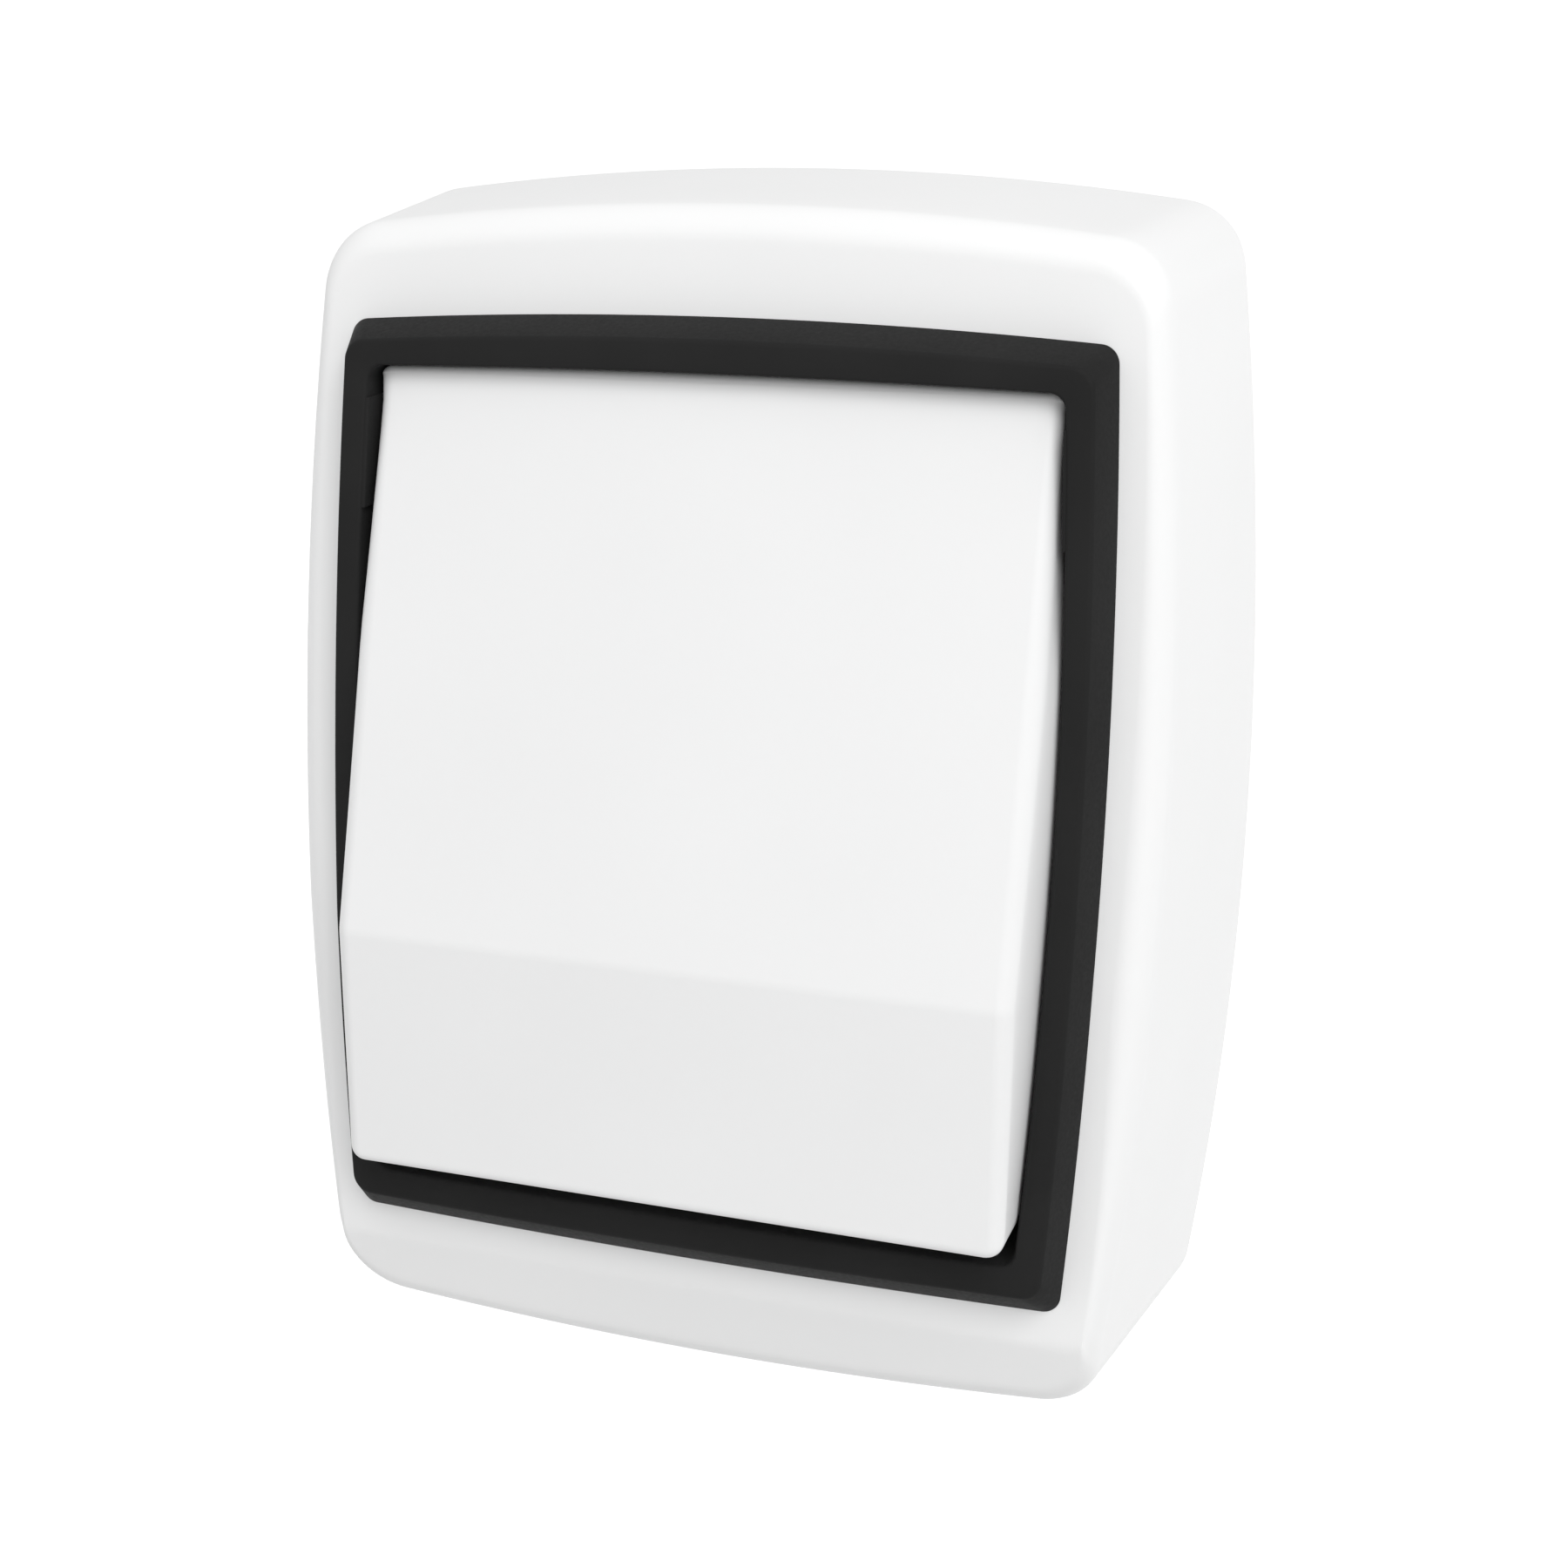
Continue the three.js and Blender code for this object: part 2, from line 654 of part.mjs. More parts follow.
const switchedContact = (sign) => {
  const z = PIVOT.z + sign * RIVET.z;
  return cut(strip(-1, z), rodAlongY(RIVET.hole, [STRIP.y[0] - PAST, STRIP.y[1] + PAST], 0, z));
};

// The common strip carries an upright whose edge holds the seesaw.
const commonContact = () => {
  const rootY = STRIP.y[0] + KNIFE.root;
  const edgeY = KNIFE.y + GAP;
  const upright = shapeOf([
    [rootY, KNIFE.z - KNIFE.rootHalf],
    [rootY, KNIFE.z + KNIFE.rootHalf],
    [edgeY, KNIFE.z + KNIFE.edgeHalf],
    [edgeY, KNIFE.z - KNIFE.edgeHalf],
  ]);
  return join(strip(1, KNIFE.z), solid(prismAlongX(upright, around(0, KNIFE.half))));
};

const wireClamp = (x, z) =>
  cut(
    box(around(x, CLAMP.half), CLAMP.y, around(z, CLAMP.half)),
    box(around(x, CLAMP.half + PAST), CLAMP.window, around(z, CLAMP.windowZ)),
    rodAlongY(SHANK_HOLE, [CLAMP.y[0] - PAST, CLAMP.window[0] + PAST / 2], x, z),
  );

// Slotted cheese-head screw whose head, towards the front, has its underside at headY.
const slottedScrew = ({ head, headThick, shank, end, slot }, headY, x, z) => {
  const slotFloor = headY - headThick / 2;
  const slotY = [headY - headThick - PAST, slotFloor];
  return cut(
    join(
      rodAlongY(head, [headY - headThick, headY], x, z),
      rodAlongY(shank, [slotFloor, end], x, z),
    ),
    box(around(x, head + PAST), slotY, around(z, slot / 2)),
  );
};

const clampScrew = (x, z) => slottedScrew(CLAMP_SCREW, CLAMP.y[0] - GAP, x, z);

// ---------------------------------------------------------------- mechanism body

const mechanismBase = () => {
  const block = box(
    around(0, BODY.half),
    [BODY.front, BODY.back],
    around(PIVOT.z, BODY.halfZ),
  );
  const front = BODY.front - PAST;
  const tools = [box(around(0, CAVITY.half), [front, CAVITY.floor], around(PIVOT.z, CAVITY.halfZ))];
  for (const [, x, z] of CLAMPS) {
    tools.push(box(around(x, POCKET.half), [front, POCKET.floor], around(z, POCKET.half)));
    const channel = [front, STRIP.y[1] + GAP];
    tools.push(box(sorted([0, x]), channel, around(z, STRIP.half + GAP)));
    const outward = sorted([x, Math.sign(x) * (BODY.half + PAST)]);
    tools.push(rodAlongX(WIRE_HOLE.radius, outward, WIRE_HOLE.y, z));
  }
  const screws = [-1, 1].map((sign) =>
    rodAlongY(
      BODY_SCREW_HOLE.radius,
      [front, BODY_SCREW_HOLE.floor],
      0,
      PIVOT.z + sign * BODY_SCREW_Z,
    ),
  );
  return cut(block, ...tools, ...screws);
};

const mechanismBridge = () => {
  const plate = box(around(0, BRIDGE.half), BRIDGE.y, around(PIVOT.z, BRIDGE.halfZ));
  const through = [BRIDGE.y[0] - PAST, BRIDGE.y[1] + PAST];
  const towers = [-1, 1].map((sign) =>
    box(mirrored(sign, TOWER.x), [TOWER.front, BRIDGE.y[1]], around(PIVOT.z, TOWER.halfZ)),
  );
  const bearings = rodAlongX(
    CRADLE.trunnionRadius + GAP,
    around(0, BRIDGE.half),
    PIVOT.y,
    PIVOT.z,
  );
  const window = box(around(0, BRIDGE.openHalf), through, around(PIVOT.z, BRIDGE.openZ));
  const access = CLAMPS.map(([, x, z]) => rodAlongY(BRIDGE.access, through, x, z));
  const screws = [-1, 1].map((sign) =>
    rodAlongY(BODY_SCREW_HOLE.radius, through, 0, PIVOT.z + sign * BODY_SCREW_Z),
  );
  return cut(join(plate, ...towers), bearings, window, ...access, ...screws);
};

const mechanismScrew = (sign) =>
  slottedScrew(BODY_SCREW, BRIDGE.y[0] - GAP, 0, PIVOT.z + sign * BODY_SCREW_Z);

const supportYoke = () => {
  const plate = box(around(0, YOKE.half), YOKE.y, around(PIVOT.z, YOKE.halfZ));
  const through = [YOKE.y[0] - PAST, YOKE.y[1] + PAST];
  const window = box(
    around(0, BODY.half + GAP),
    through,
    around(PIVOT.z, BODY.halfZ + GAP),
  );
  const holes = [-1, 1].map((sign) =>
    rodAlongY(SHANK_HOLE, through, 0, PIVOT.z + sign * YOKE_SCREW_Z),
  );
  return cut(plate, window, ...holes);
};

const yokeScrew = (sign) =>
  slottedScrew(YOKE_SCREW, YOKE.y[0] - GAP, 0, PIVOT.z + sign * YOKE_SCREW_Z);

// ---------------------------------------------------------------- scene graph

const FINISH = {
  whiteShell: { color: 0xf4f5f5, roughness: 0.28, metalness: 0 },
  blackFrame: { color: 0x1b1b1c, roughness: 0.5, metalness: 0 },
  whiteRocker: { color: 0xf2f3f3, roughness: 0.25, metalness: 0 },
  whiteBase: { color: 0xe9eaea, roughness: 0.45, metalness: 0 },
  greyRubber: { color: 0x3a3b3c, roughness: 0.85, metalness: 0 },
  zincSteel: { color: 0xc2c4c6, roughness: 0.35, metalness: 1 },
  thermoset: { color: 0xd9d6cd, roughness: 0.55, metalness: 0 },
  cradlePlastic: { color: 0x8f9497, roughness: 0.5, metalness: 0 },
  brass: { color: 0xc9a24a, roughness: 0.3, metalness: 1 },
  silver: { color: 0xdddddf, roughness: 0.25, metalness: 1 },
  springSteel: { color: 0xa8abae, roughness: 0.3, metalness: 1 },
};

const piece = (name, body, finish) => {
  const mesh = new THREE.Mesh(geometryOf(body), new THREE.MeshStandardMaterial(FINISH[finish]));
  mesh.name = name;
  return mesh;
};

const housing = new THREE.Group();
housing.add(
  piece("front_cover", frontCover(), "whiteShell"),
  piece("bezel_frame", bezelFrame(), "blackFrame"),
  piece("entry_shutter", entryShutter(), "whiteShell"),
  piece("base_box", baseBox(), "whiteBase"),
  piece("cable_grommet", cableGrommet(), "greyRubber"),
  piece("support_yoke", supportYoke(), "zincSteel"),
  piece("mechanism_base", mechanismBase(), "thermoset"),
  piece("mechanism_bridge", mechanismBridge(), "thermoset"),
  piece("common_contact", commonContact(), "brass"),
);
for (const [side, sign] of [
  ["upper", 1],
  ["lower", -1],
])
  housing.add(
    piece(`yoke_screw_${side}`, yokeScrew(sign), "zincSteel"),
    piece(`mechanism_screw_${side}`, mechanismScrew(sign), "zincSteel"),
    piece(`${side}_contact`, switchedContact(sign), "brass"),
    piece(`fixed_rivet_${side}`, fixedRivet(sign), "silver"),
  );
for (const [name, x, z] of CLAMPS)
  housing.add(
    piece(`clamp_${name}`, wireClamp(x, z), "brass"),
    piece(`clamp_screw_${name}`, clampScrew(x, z), "zincSteel"),
  );

// Cradle, toggle pin and spring, tilted as they stand at rest.
const tilting = new THREE.Group();
tilting.position.set(0, PIVOT.y, PIVOT.z);
tilting.rotation.x = ROCKER_REST_TILT;
tilting.add(
  piece("rocker_cradle", rockerCradle(), "cradlePlastic"),
  piece("plunger", togglePin(), "brass"),
  piece("plunger_spring", plungerSpring(), "springSteel"),
);

const seesaw = new THREE.Group();
seesaw.position.set(0, KNIFE.y, KNIFE.z);
seesaw.rotation.x = BLADE_REST_TILT;
seesaw.add(
  piece("contact_blade", contactBlade(), "brass"),
  piece("moving_rivet_upper", movingRivet(1), "silver"),
  piece("moving_rivet_lower", movingRivet(-1), "silver"),
);

const group = new THREE.Group();
group.add(housing, tilting, seesaw, piece("rocker", rockerCap(), "whiteRocker"));

export default group;
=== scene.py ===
import json
import math

import bmesh
import bpy
from mathutils import Matrix, Vector


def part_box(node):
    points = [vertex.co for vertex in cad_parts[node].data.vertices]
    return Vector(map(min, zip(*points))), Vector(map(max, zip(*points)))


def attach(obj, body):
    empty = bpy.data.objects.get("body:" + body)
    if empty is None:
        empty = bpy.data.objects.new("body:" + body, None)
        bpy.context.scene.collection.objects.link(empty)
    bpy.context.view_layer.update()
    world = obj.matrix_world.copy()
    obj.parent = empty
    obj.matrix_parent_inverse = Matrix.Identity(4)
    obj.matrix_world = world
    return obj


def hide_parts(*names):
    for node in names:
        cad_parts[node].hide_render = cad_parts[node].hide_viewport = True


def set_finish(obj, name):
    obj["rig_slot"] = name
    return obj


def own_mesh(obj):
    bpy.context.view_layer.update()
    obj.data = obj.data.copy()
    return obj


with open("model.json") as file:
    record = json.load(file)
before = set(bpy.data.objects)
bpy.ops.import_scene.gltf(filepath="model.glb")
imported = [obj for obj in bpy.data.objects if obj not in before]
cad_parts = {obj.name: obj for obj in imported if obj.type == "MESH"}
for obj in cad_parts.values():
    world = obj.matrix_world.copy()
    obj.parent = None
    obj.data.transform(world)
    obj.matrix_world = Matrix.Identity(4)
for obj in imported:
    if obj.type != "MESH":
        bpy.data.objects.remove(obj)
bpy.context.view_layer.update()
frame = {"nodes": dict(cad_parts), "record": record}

# Lengths are in millimetres until a mesh is made, and MM turns them into metres.
MM = 0.001


def box_mm(node):
    """Lowest and highest corner of a CAD node, in millimetres."""
    low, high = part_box(node)
    return low / MM, high / MM


COVER_LOW, COVER_HIGH = box_mm("front_cover")
ROCKER_LOW, ROCKER_HIGH = box_mm("rocker")
SHUTTER_LOW, SHUTTER_HIGH = box_mm("entry_shutter")
GROMMET_LOW, GROMMET_HIGH = box_mm("cable_grommet")

# ------------------------------------------------------------------ shared outlines

HOUSING = {
    "half": COVER_HIGH.x,
    "top": COVER_HIGH.z,
    "bottom": COVER_LOW.z,
    "side_radius": 300,
    "top_radius": 218,
    "bottom_radius": 273,
    "arc_z": -1.2,
    "corner": 4.9,
}
DRAFT = {"side": 0.135, "top": 0.099, "bottom": 0.148}  # inset per millimetre of depth
DRAFT_SPAN = 30
WALL = 2
FRONT_WALL = 2.2

# Front face seen from the side: two planes with a soft crease, and a chin that falls back.
CREASE_Z = -7
CREASE_DEPTH = 24.8
UPPER_SLOPE = 0.1187
LOWER_SLOPE = 0.0786
CHIN_Z = -33.4
CHIN_SLOPE = 0.314
FRONT_CREASE_SOFT = 0.8
CHIN_SOFT = 0.45
FRONT_FILLET = 2.1

FRAME_FOOT = {
    "half": 28.2,
    "top": 35.9,
    "bottom": -31.2,
    "side_radius": 480,
    "top_radius": 380,
    "bottom_radius": 900,
    "arc_z": 2.4,
    "corner": 1.3,
}
OPENING = {
    "half": 25.35,
    "top": 32.5,
    "bottom": -26.5,
    "side_radius": 400,
    "top_radius": 900,
    "bottom_radius": 1500,
    "arc_z": 4,
    "corner": 1.2,
}
FRAME_RAISE = 3.1
FRAME_SEAT = 0.03
FRAME_CHAMFER = (1.1, 1.25, 2.5)
FRAME_FACE_CORNER = 1.5
FRAME_EDGE = 0.28
FRAME_FOOT_EDGE = 0.1
WINDOW_EDGE = 0.2
SKIRT_WALL = 1.3
SKIRT_GAP = 0.3
APRON_DEPTH = 16.2
APRON_SLOPE = 0.0857
APRON_THICK = 1.2
APRON_WINDOW = {**OPENING, "half": 20.8, "top": 27.2, "bottom": -15}
TAB_X = (24.7, 24.33)  # at its lower and its upper end
TAB_Z = (22.4, 30)
TAB_BACK = -16
TAB_EDGE = 0.12
TAB_EDGE_SEGMENTS = 3
TAB_BELOW_FACE = 0.12

# How many steps each stretch of an outline has.
LOWER_SIDE_STEPS = 56
UPPER_SIDE_STEPS = 80
END_STEPS = 56
CORNER_STEPS = 12
LEAST_INSET_CORNER = 0.5

# Edges sharper than this many degrees stay sharp.
SHARP = {"housing": 28, "rocker": 35, "grommet": 35, "spring": 40, "cad": 32}


def soft_ramp(t, soft):
    """Zero below t = 0 and t above it, with a rounded bend that is 2 * soft long."""
    if t <= -soft:
        return 0.0
    if t >= soft:
        return t
    return (t + soft) ** 2 / (4 * soft)


def plane_depth(z):
    """Depth in front of the wall of the front face's two main planes, which the frame follows."""
    depth = CREASE_DEPTH - LOWER_SLOPE * (z - CREASE_Z)
    return depth - (UPPER_SLOPE - LOWER_SLOPE) * soft_ramp(z - CREASE_Z, FRONT_CREASE_SOFT)


def face_depth(z):
    """Depth in front of the wall of the whole front face, with the chin that falls back."""
    return plane_depth(z) - (CHIN_SLOPE + LOWER_SLOPE) * soft_ramp(CHIN_Z - z, CHIN_SOFT)


def arc(centre, radius, start, end, steps):
    """Points on an arc, both ends included."""
    angles = [start + (end - start) * i / steps for i in range(steps + 1)]
    return [centre + radius * Vector((math.cos(a), math.sin(a))) for a in angles]


def angle_to(start, end):
    return math.atan2(end.y - start.y, end.x - start.x)


def corner_centre(side, side_radius, end, end_radius, upwards):
    """Centre of the corner circle that touches the inside of a side arc and an end arc."""
    apart = (end - side).length
    along = (side_radius**2 - end_radius**2 + apart**2) / (2 * apart)
    across = math.sqrt(side_radius**2 - along**2)
    unit = (end - side) / apart
    normal = Vector((-unit.y, unit.x))
    foot = side + unit * along
    options = [foot + normal * across, foot - normal * across]
    return next(p for p in options if p.x > 0 and (p.y > 0) == upwards)


def mirrored(points):
    """The same points on the other side of the middle, in the opposite order."""
    return [Vector((-p.x, p.y)) for p in reversed(points)]


def barrel(spec):
    """The outline as (x, z) points, anticlockwise as seen from the front.

    Every outline has the same number of points, and one point of each side lies on the crease.
    """
    side = Vector((spec["half"] - spec["side_radius"], spec["arc_z"]))
    top = Vector((0, spec["top"] - spec["top_radius"]))
    bottom = Vector((0, spec["bottom"] + spec["bottom_radius"]))
    corner = spec["corner"]
    inner = spec["side_radius"] - corner
    upper = corner_centre(side, inner, top, spec["top_radius"] - corner, True)
    lower = corner_centre(side, inner, bottom, spec["bottom_radius"] - corner, False)
    start, end = angle_to(side, lower), angle_to(side, upper)
    crease = math.asin((CREASE_Z - side.y) / spec["side_radius"])
    top_angle, bottom_angle = angle_to(top, upper), angle_to(bottom, lower)
    right = arc(side, spec["side_radius"], start, crease, LOWER_SIDE_STEPS)
    right += arc(side, spec["side_radius"], crease, end, UPPER_SIDE_STEPS)[1:]
    right += arc(upper, corner, end, top_angle, CORNER_STEPS)[1:]
    right += arc(top, spec["top_radius"], top_angle, math.pi / 2, END_STEPS // 2)[1:-1]
    below = arc(bottom, spec["bottom_radius"], -math.pi / 2, bottom_angle, END_STEPS // 2)[1:]
    below += arc(lower, corner, bottom_angle, start, CORNER_STEPS)[1:-1]
    return (
        right
        + [Vector((0, spec["top"]))]
        + mirrored(right)
        + mirrored(below)
        + [Vector((0, spec["bottom"]))]
        + below
    )


def inset(spec, side, top=None, bottom=None):
    """An outline moved inwards; the top and bottom move as far as the sides unless given."""
    top = side if top is None else top
    bottom = side if bottom is None else bottom
    return {
        **spec,
        "half": spec["half"] - side,
        "top": spec["top"] - top,
        "bottom": spec["bottom"] + bottom,
        "corner": max(spec["corner"] - min(side, top, bottom), LEAST_INSET_CORNER),
    }


def housing_outline(depth, wall=0):
    """Outline of the drafted housing at a depth in front of the wall."""
    spec = inset(HOUSING, wall)
    spec["half"] -= DRAFT["side"] * depth
    spec["top"] -= DRAFT["top"] * depth
    spec["bottom"] += DRAFT["bottom"] * depth
    return barrel(spec)


# ------------------------------------------------------------------ mesh building

CIRCLE = 0.5523  # cubic handles that make a quarter circle
MOST_OF_SPAN = 0.45  # a rounded edge takes at most this share of the face beside it
EDGE_STEPS = 4
MERGE_DISTANCE = 1e-4


def add_object(name, bm):
    """Turns a mesh into an object in the scene, and frees it."""
    mesh = bpy.data.meshes.new(name)
    bm.to_mesh(mesh)
    bm.free()
    thing = bpy.data.objects.new(name, mesh)
    bpy.context.scene.collection.objects.link(thing)
    return thing


def to_metres(bm):
    bmesh.ops.recalc_face_normals(bm, faces=bm.faces)
    bmesh.ops.scale(bm, vec=(MM, MM, MM), verts=bm.verts)


def new_piece(name, bm, body, slot, replaced):
    """Turns a mesh in millimetres into a piece in metres that rides on a body."""
    bmesh.ops.remove_doubles(bm, verts=bm.verts, dist=MERGE_DISTANCE)
    to_metres(bm)
    piece = add_object(name, bm)
    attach(piece, body)
    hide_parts(*replaced)
    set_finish(piece, slot)
    return piece


def shade(piece, degrees):
    """Smooth shading, with edges sharper than the angle left sharp."""
    mesh = piece.data
    mesh.polygons.foreach_set("use_smooth", [True] * len(mesh.polygons))
    mesh.set_sharp_from_angle(angle=math.radians(degrees))
    mesh.update()


def add_rings(bm, rings, closed=True):
    """Joins rings of points, and returns the rings of vertices."""
    loops = [[bm.verts.new(p) for p in ring] for ring in rings]
    last = len(loops) if closed else len(loops) - 1
    for k in range(last):
        near, far = loops[k], loops[(k + 1) % len(loops)]
        for i in range(len(near)):
            j = (i + 1) % len(near)
            bm.faces.new((near[i], near[j], far[j], far[i]))
    return loops


def ring_at(outline, depth_of):
    """An outline in space, each point at the depth that depth_of gives for its height."""
    return [Vector((p.x, -depth_of(p.y), p.y)) for p in outline]


def lerp_rings(a, b, share):
    return [p.lerp(q, share) for p, q in zip(a, b)]


def curve_rings(start, corner, end, steps):
    """Rings that turn smoothly from start to end, pulled towards the corner."""
    rings = []
    for k in range(steps + 1):
        t = k / steps
        rings.append(
            [
                p * (1 - t) ** 3
                + (p + (c - p) * CIRCLE) * 3 * t * (1 - t) ** 2
                + (q + (c - q) * CIRCLE) * 3 * t**2 * (1 - t)
                + q * t**3
                for p, c, q in zip(start, corner, end)
            ]
        )
    return rings


def towards(ring, target, distance):
    """Each point moved by a distance towards its partner, but never half of the way."""
    moved = []
    for p, q in zip(ring, target):
        span = (q - p).length
        moved.append(p.lerp(q, min(distance / span, MOST_OF_SPAN) if span else 0))
    return moved


def soften(rings, radii):
    """Closed stack of rings in which each ring with a radius becomes a rounded edge."""
    made = []
    for k, (ring, radius) in enumerate(zip(rings, radii)):
        if not radius:
            made.append(ring)
            continue
        before = towards(ring, rings[k - 1], radius)
        after = towards(ring, rings[(k + 1) % len(rings)], radius)
        made += curve_rings(before, ring, after, EDGE_STEPS)
    return made


def add_box(bm, low, high, front=None):
    """Box between two corners; front(z), if given, is the y of its front face at a height."""
    corners = {}
    for x in (low[0], high[0]):
        for z in (low[2], high[2]):
            corners[x, z, "front"] = bm.verts.new((x, front(z) if front else low[1], z))
            corners[x, z, "back"] = bm.verts.new((x, high[1], z))
    (x0, x1), (z0, z1) = (low[0], high[0]), (low[2], high[2])
    for face in (
        [(x0, z0, "front"), (x1, z0, "front"), (x1, z1, "front"), (x0, z1, "front")],
        [(x0, z0, "back"), (x0, z1, "back"), (x1, z1, "back"), (x1, z0, "back")],
        [(x0, z0, "front"), (x0, z1, "front"), (x0, z1, "back"), (x0, z0, "back")],
        [(x1, z0, "front"), (x1, z0, "back"), (x1, z1, "back"), (x1, z1, "front")],
        [(x0, z0, "front"), (x0, z0, "back"), (x1, z0, "back"), (x1, z0, "front")],
        [(x0, z1, "front"), (x1, z1, "front"), (x1, z1, "back"), (x0, z1, "back")],
    ):
        bm.faces.new([corners[key] for key in face])
    return list(corners.values())


# ------------------------------------------------------------------ housing cover

WALL_STEPS = 6
FILLET_STEPS = 10
FACE_STEPS = 26
EDGE_ROUNDS = 12  # of the search for where a wall meets the front face
RIM_EDGE = 0.3
ENTRY_GAP = 0.15  # round the blank of the bottom entry
PAST = 3  # how far a cutting box goes past what it cuts
HOLE = inset(OPENING, -SKIRT_WALL - SKIRT_GAP)


def wall_lines():
    """For each outline point, the line of the drafted wall at the wall face and at DRAFT_SPAN."""
    return list(zip(housing_outline(0), housing_outline(DRAFT_SPAN)))


def wall_point(line, depth):
    """Point of a drafted wall line at a depth."""
    p = line[0].lerp(line[1], depth / DRAFT_SPAN)
    return Vector((p.x, -depth, p.y))


def edge_depth(line):
    """Depth at which a wall line meets the front face."""
    depth = CREASE_DEPTH
    for _ in range(EDGE_ROUNDS):
        depth = face_depth(wall_point(line, depth).z)
    return depth


def face_point(outer, hole, distance=None, share=None):
    """Point on the front face on the way from its edge to the hole."""
    start = Vector((outer.x, outer.z))
    if share is None:
        share = distance / (hole - start).length
    p = start.lerp(hole, share)
    return Vector((p.x, -face_depth(p.y), p.y))


def cover_rings():
    """Rings of the cover's shell: up the wall, over the front to the hole, and back inside."""
    lines = wall_lines()
    depths = [edge_depth(line) for line in lines]
    edge = [wall_point(line, d) for line, d in zip(lines, depths)]
    hole = barrel(HOLE)
    wall_end = [wall_point(line, d - FRONT_FILLET) for line, d in zip(lines, depths)]
    face_start = [face_point(c, h, distance=FRONT_FILLET) for c, h in zip(edge, hole)]
    rim = ring_at(housing_outline(0), lambda z: 0)
    rings = [[wall_point(line, RIM_EDGE) for line in lines]]
    rings += [lerp_rings(rings[0], wall_end, k / WALL_STEPS) for k in range(1, WALL_STEPS)]
    rings += curve_rings(wall_end, edge, face_start, FILLET_STEPS)
    shares = [FRONT_FILLET / (h - Vector((c.x, c.z))).length for c, h in zip(edge, hole)]
    for k in range(1, FACE_STEPS + 1):
        rings.append(
            [
                face_point(c, h, share=s + (1 - s) * k / FACE_STEPS)
                for c, h, s in zip(edge, hole, shares)
            ]
        )
    rings.append(ring_at(hole, lambda z: face_depth(z) - FRONT_WALL))
    inner_edge = [p + Vector((0, FRONT_WALL, 0)) for p in edge]
    inner_wall = housing_outline(CREASE_DEPTH - FRONT_WALL, WALL)
    rings.append([Vector((w.x, p.y, w.y)) for w, p in zip(inner_wall, inner_edge)])
    rings.append(ring_at(housing_outline(0, WALL), lambda z: 0))
    rings.append(towards(rim, rings[-1], RIM_EDGE))
    return rings


def cover_mesh():
    bm = bmesh.new()
    add_rings(bm, cover_rings())
    return bm


def boolean(piece, low, high, operation):
    """Cuts a box out of a piece, or keeps only what is in it. Corners are in millimetres."""
    bm = bmesh.new()
    add_box(bm, low, high)
    to_metres(bm)
    tool = add_object("tool", bm)
    cut = piece.modifiers.new("cut", "BOOLEAN")
    cut.operation = operation
    cut.object = tool
    cut.solver = "EXACT"
    graph = bpy.context.evaluated_depsgraph_get()
    result = bpy.data.meshes.new_from_object(piece.evaluated_get(graph))
    piece.modifiers.clear()
    piece.data = result
    bpy.data.objects.remove(tool)


def make_cover():
    piece = new_piece("cover_shell", cover_mesh(), "housing", "white_shell", ["front_cover"])
    low = (SHUTTER_LOW.x - ENTRY_GAP, SHUTTER_LOW.y - ENTRY_GAP, SHUTTER_LOW.z - PAST)
    high = (SHUTTER_HIGH.x + ENTRY_GAP, PAST, SHUTTER_HIGH.z + PAST)
    boolean(piece, low, high, "DIFFERENCE")
    shade(piece, SHARP["housing"])
    return piece


def make_shutter():
    piece = new_piece("entry_blank", cover_mesh(), "housing", "white_shell", ["entry_shutter"])
    low = (SHUTTER_LOW.x, SHUTTER_LOW.y, SHUTTER_LOW.z - PAST)
    high = (SHUTTER_HIGH.x, SHUTTER_HIGH.y, SHUTTER_HIGH.z + PAST)
    boolean(piece, low, high, "INTERSECT")
    shade(piece, SHARP["housing"])
    return piece


# ------------------------------------------------------------------ raised frame


def frame_rings():
    """Rings of the frame's section: chamfer, face, opening, apron and skirt."""
    foot = barrel(FRAME_FOOT)
    face = barrel({**inset(FRAME_FOOT, *FRAME_CHAMFER), "corner": FRAME_FACE_CORNER})
    opening = barrel(OPENING)
    skirt = barrel(inset(OPENING, -SKIRT_WALL))
    window = barrel(APRON_WINDOW)

    def above(height):
        return lambda z: plane_depth(z) + height

    def apron_front(z):
        return APRON_DEPTH - APRON_SLOPE * z

    def apron_back(z):
        return apron_front(z) - APRON_THICK

    corners = [
        (ring_at(foot, above(FRAME_SEAT)), FRAME_FOOT_EDGE),
        (ring_at(face, above(FRAME_RAISE)), FRAME_EDGE),
        (ring_at(opening, above(FRAME_RAISE)), FRAME_EDGE),
        (ring_at(opening, apron_front), 0),
        (ring_at(window, apron_front), WINDOW_EDGE),
        (ring_at(window, apron_back), 0),
        (ring_at(skirt, apron_back), 0),
        (ring_at(skirt, above(FRAME_SEAT)), 0),
    ]
    return soften([ring for ring, _ in corners], [radius for _, radius in corners])


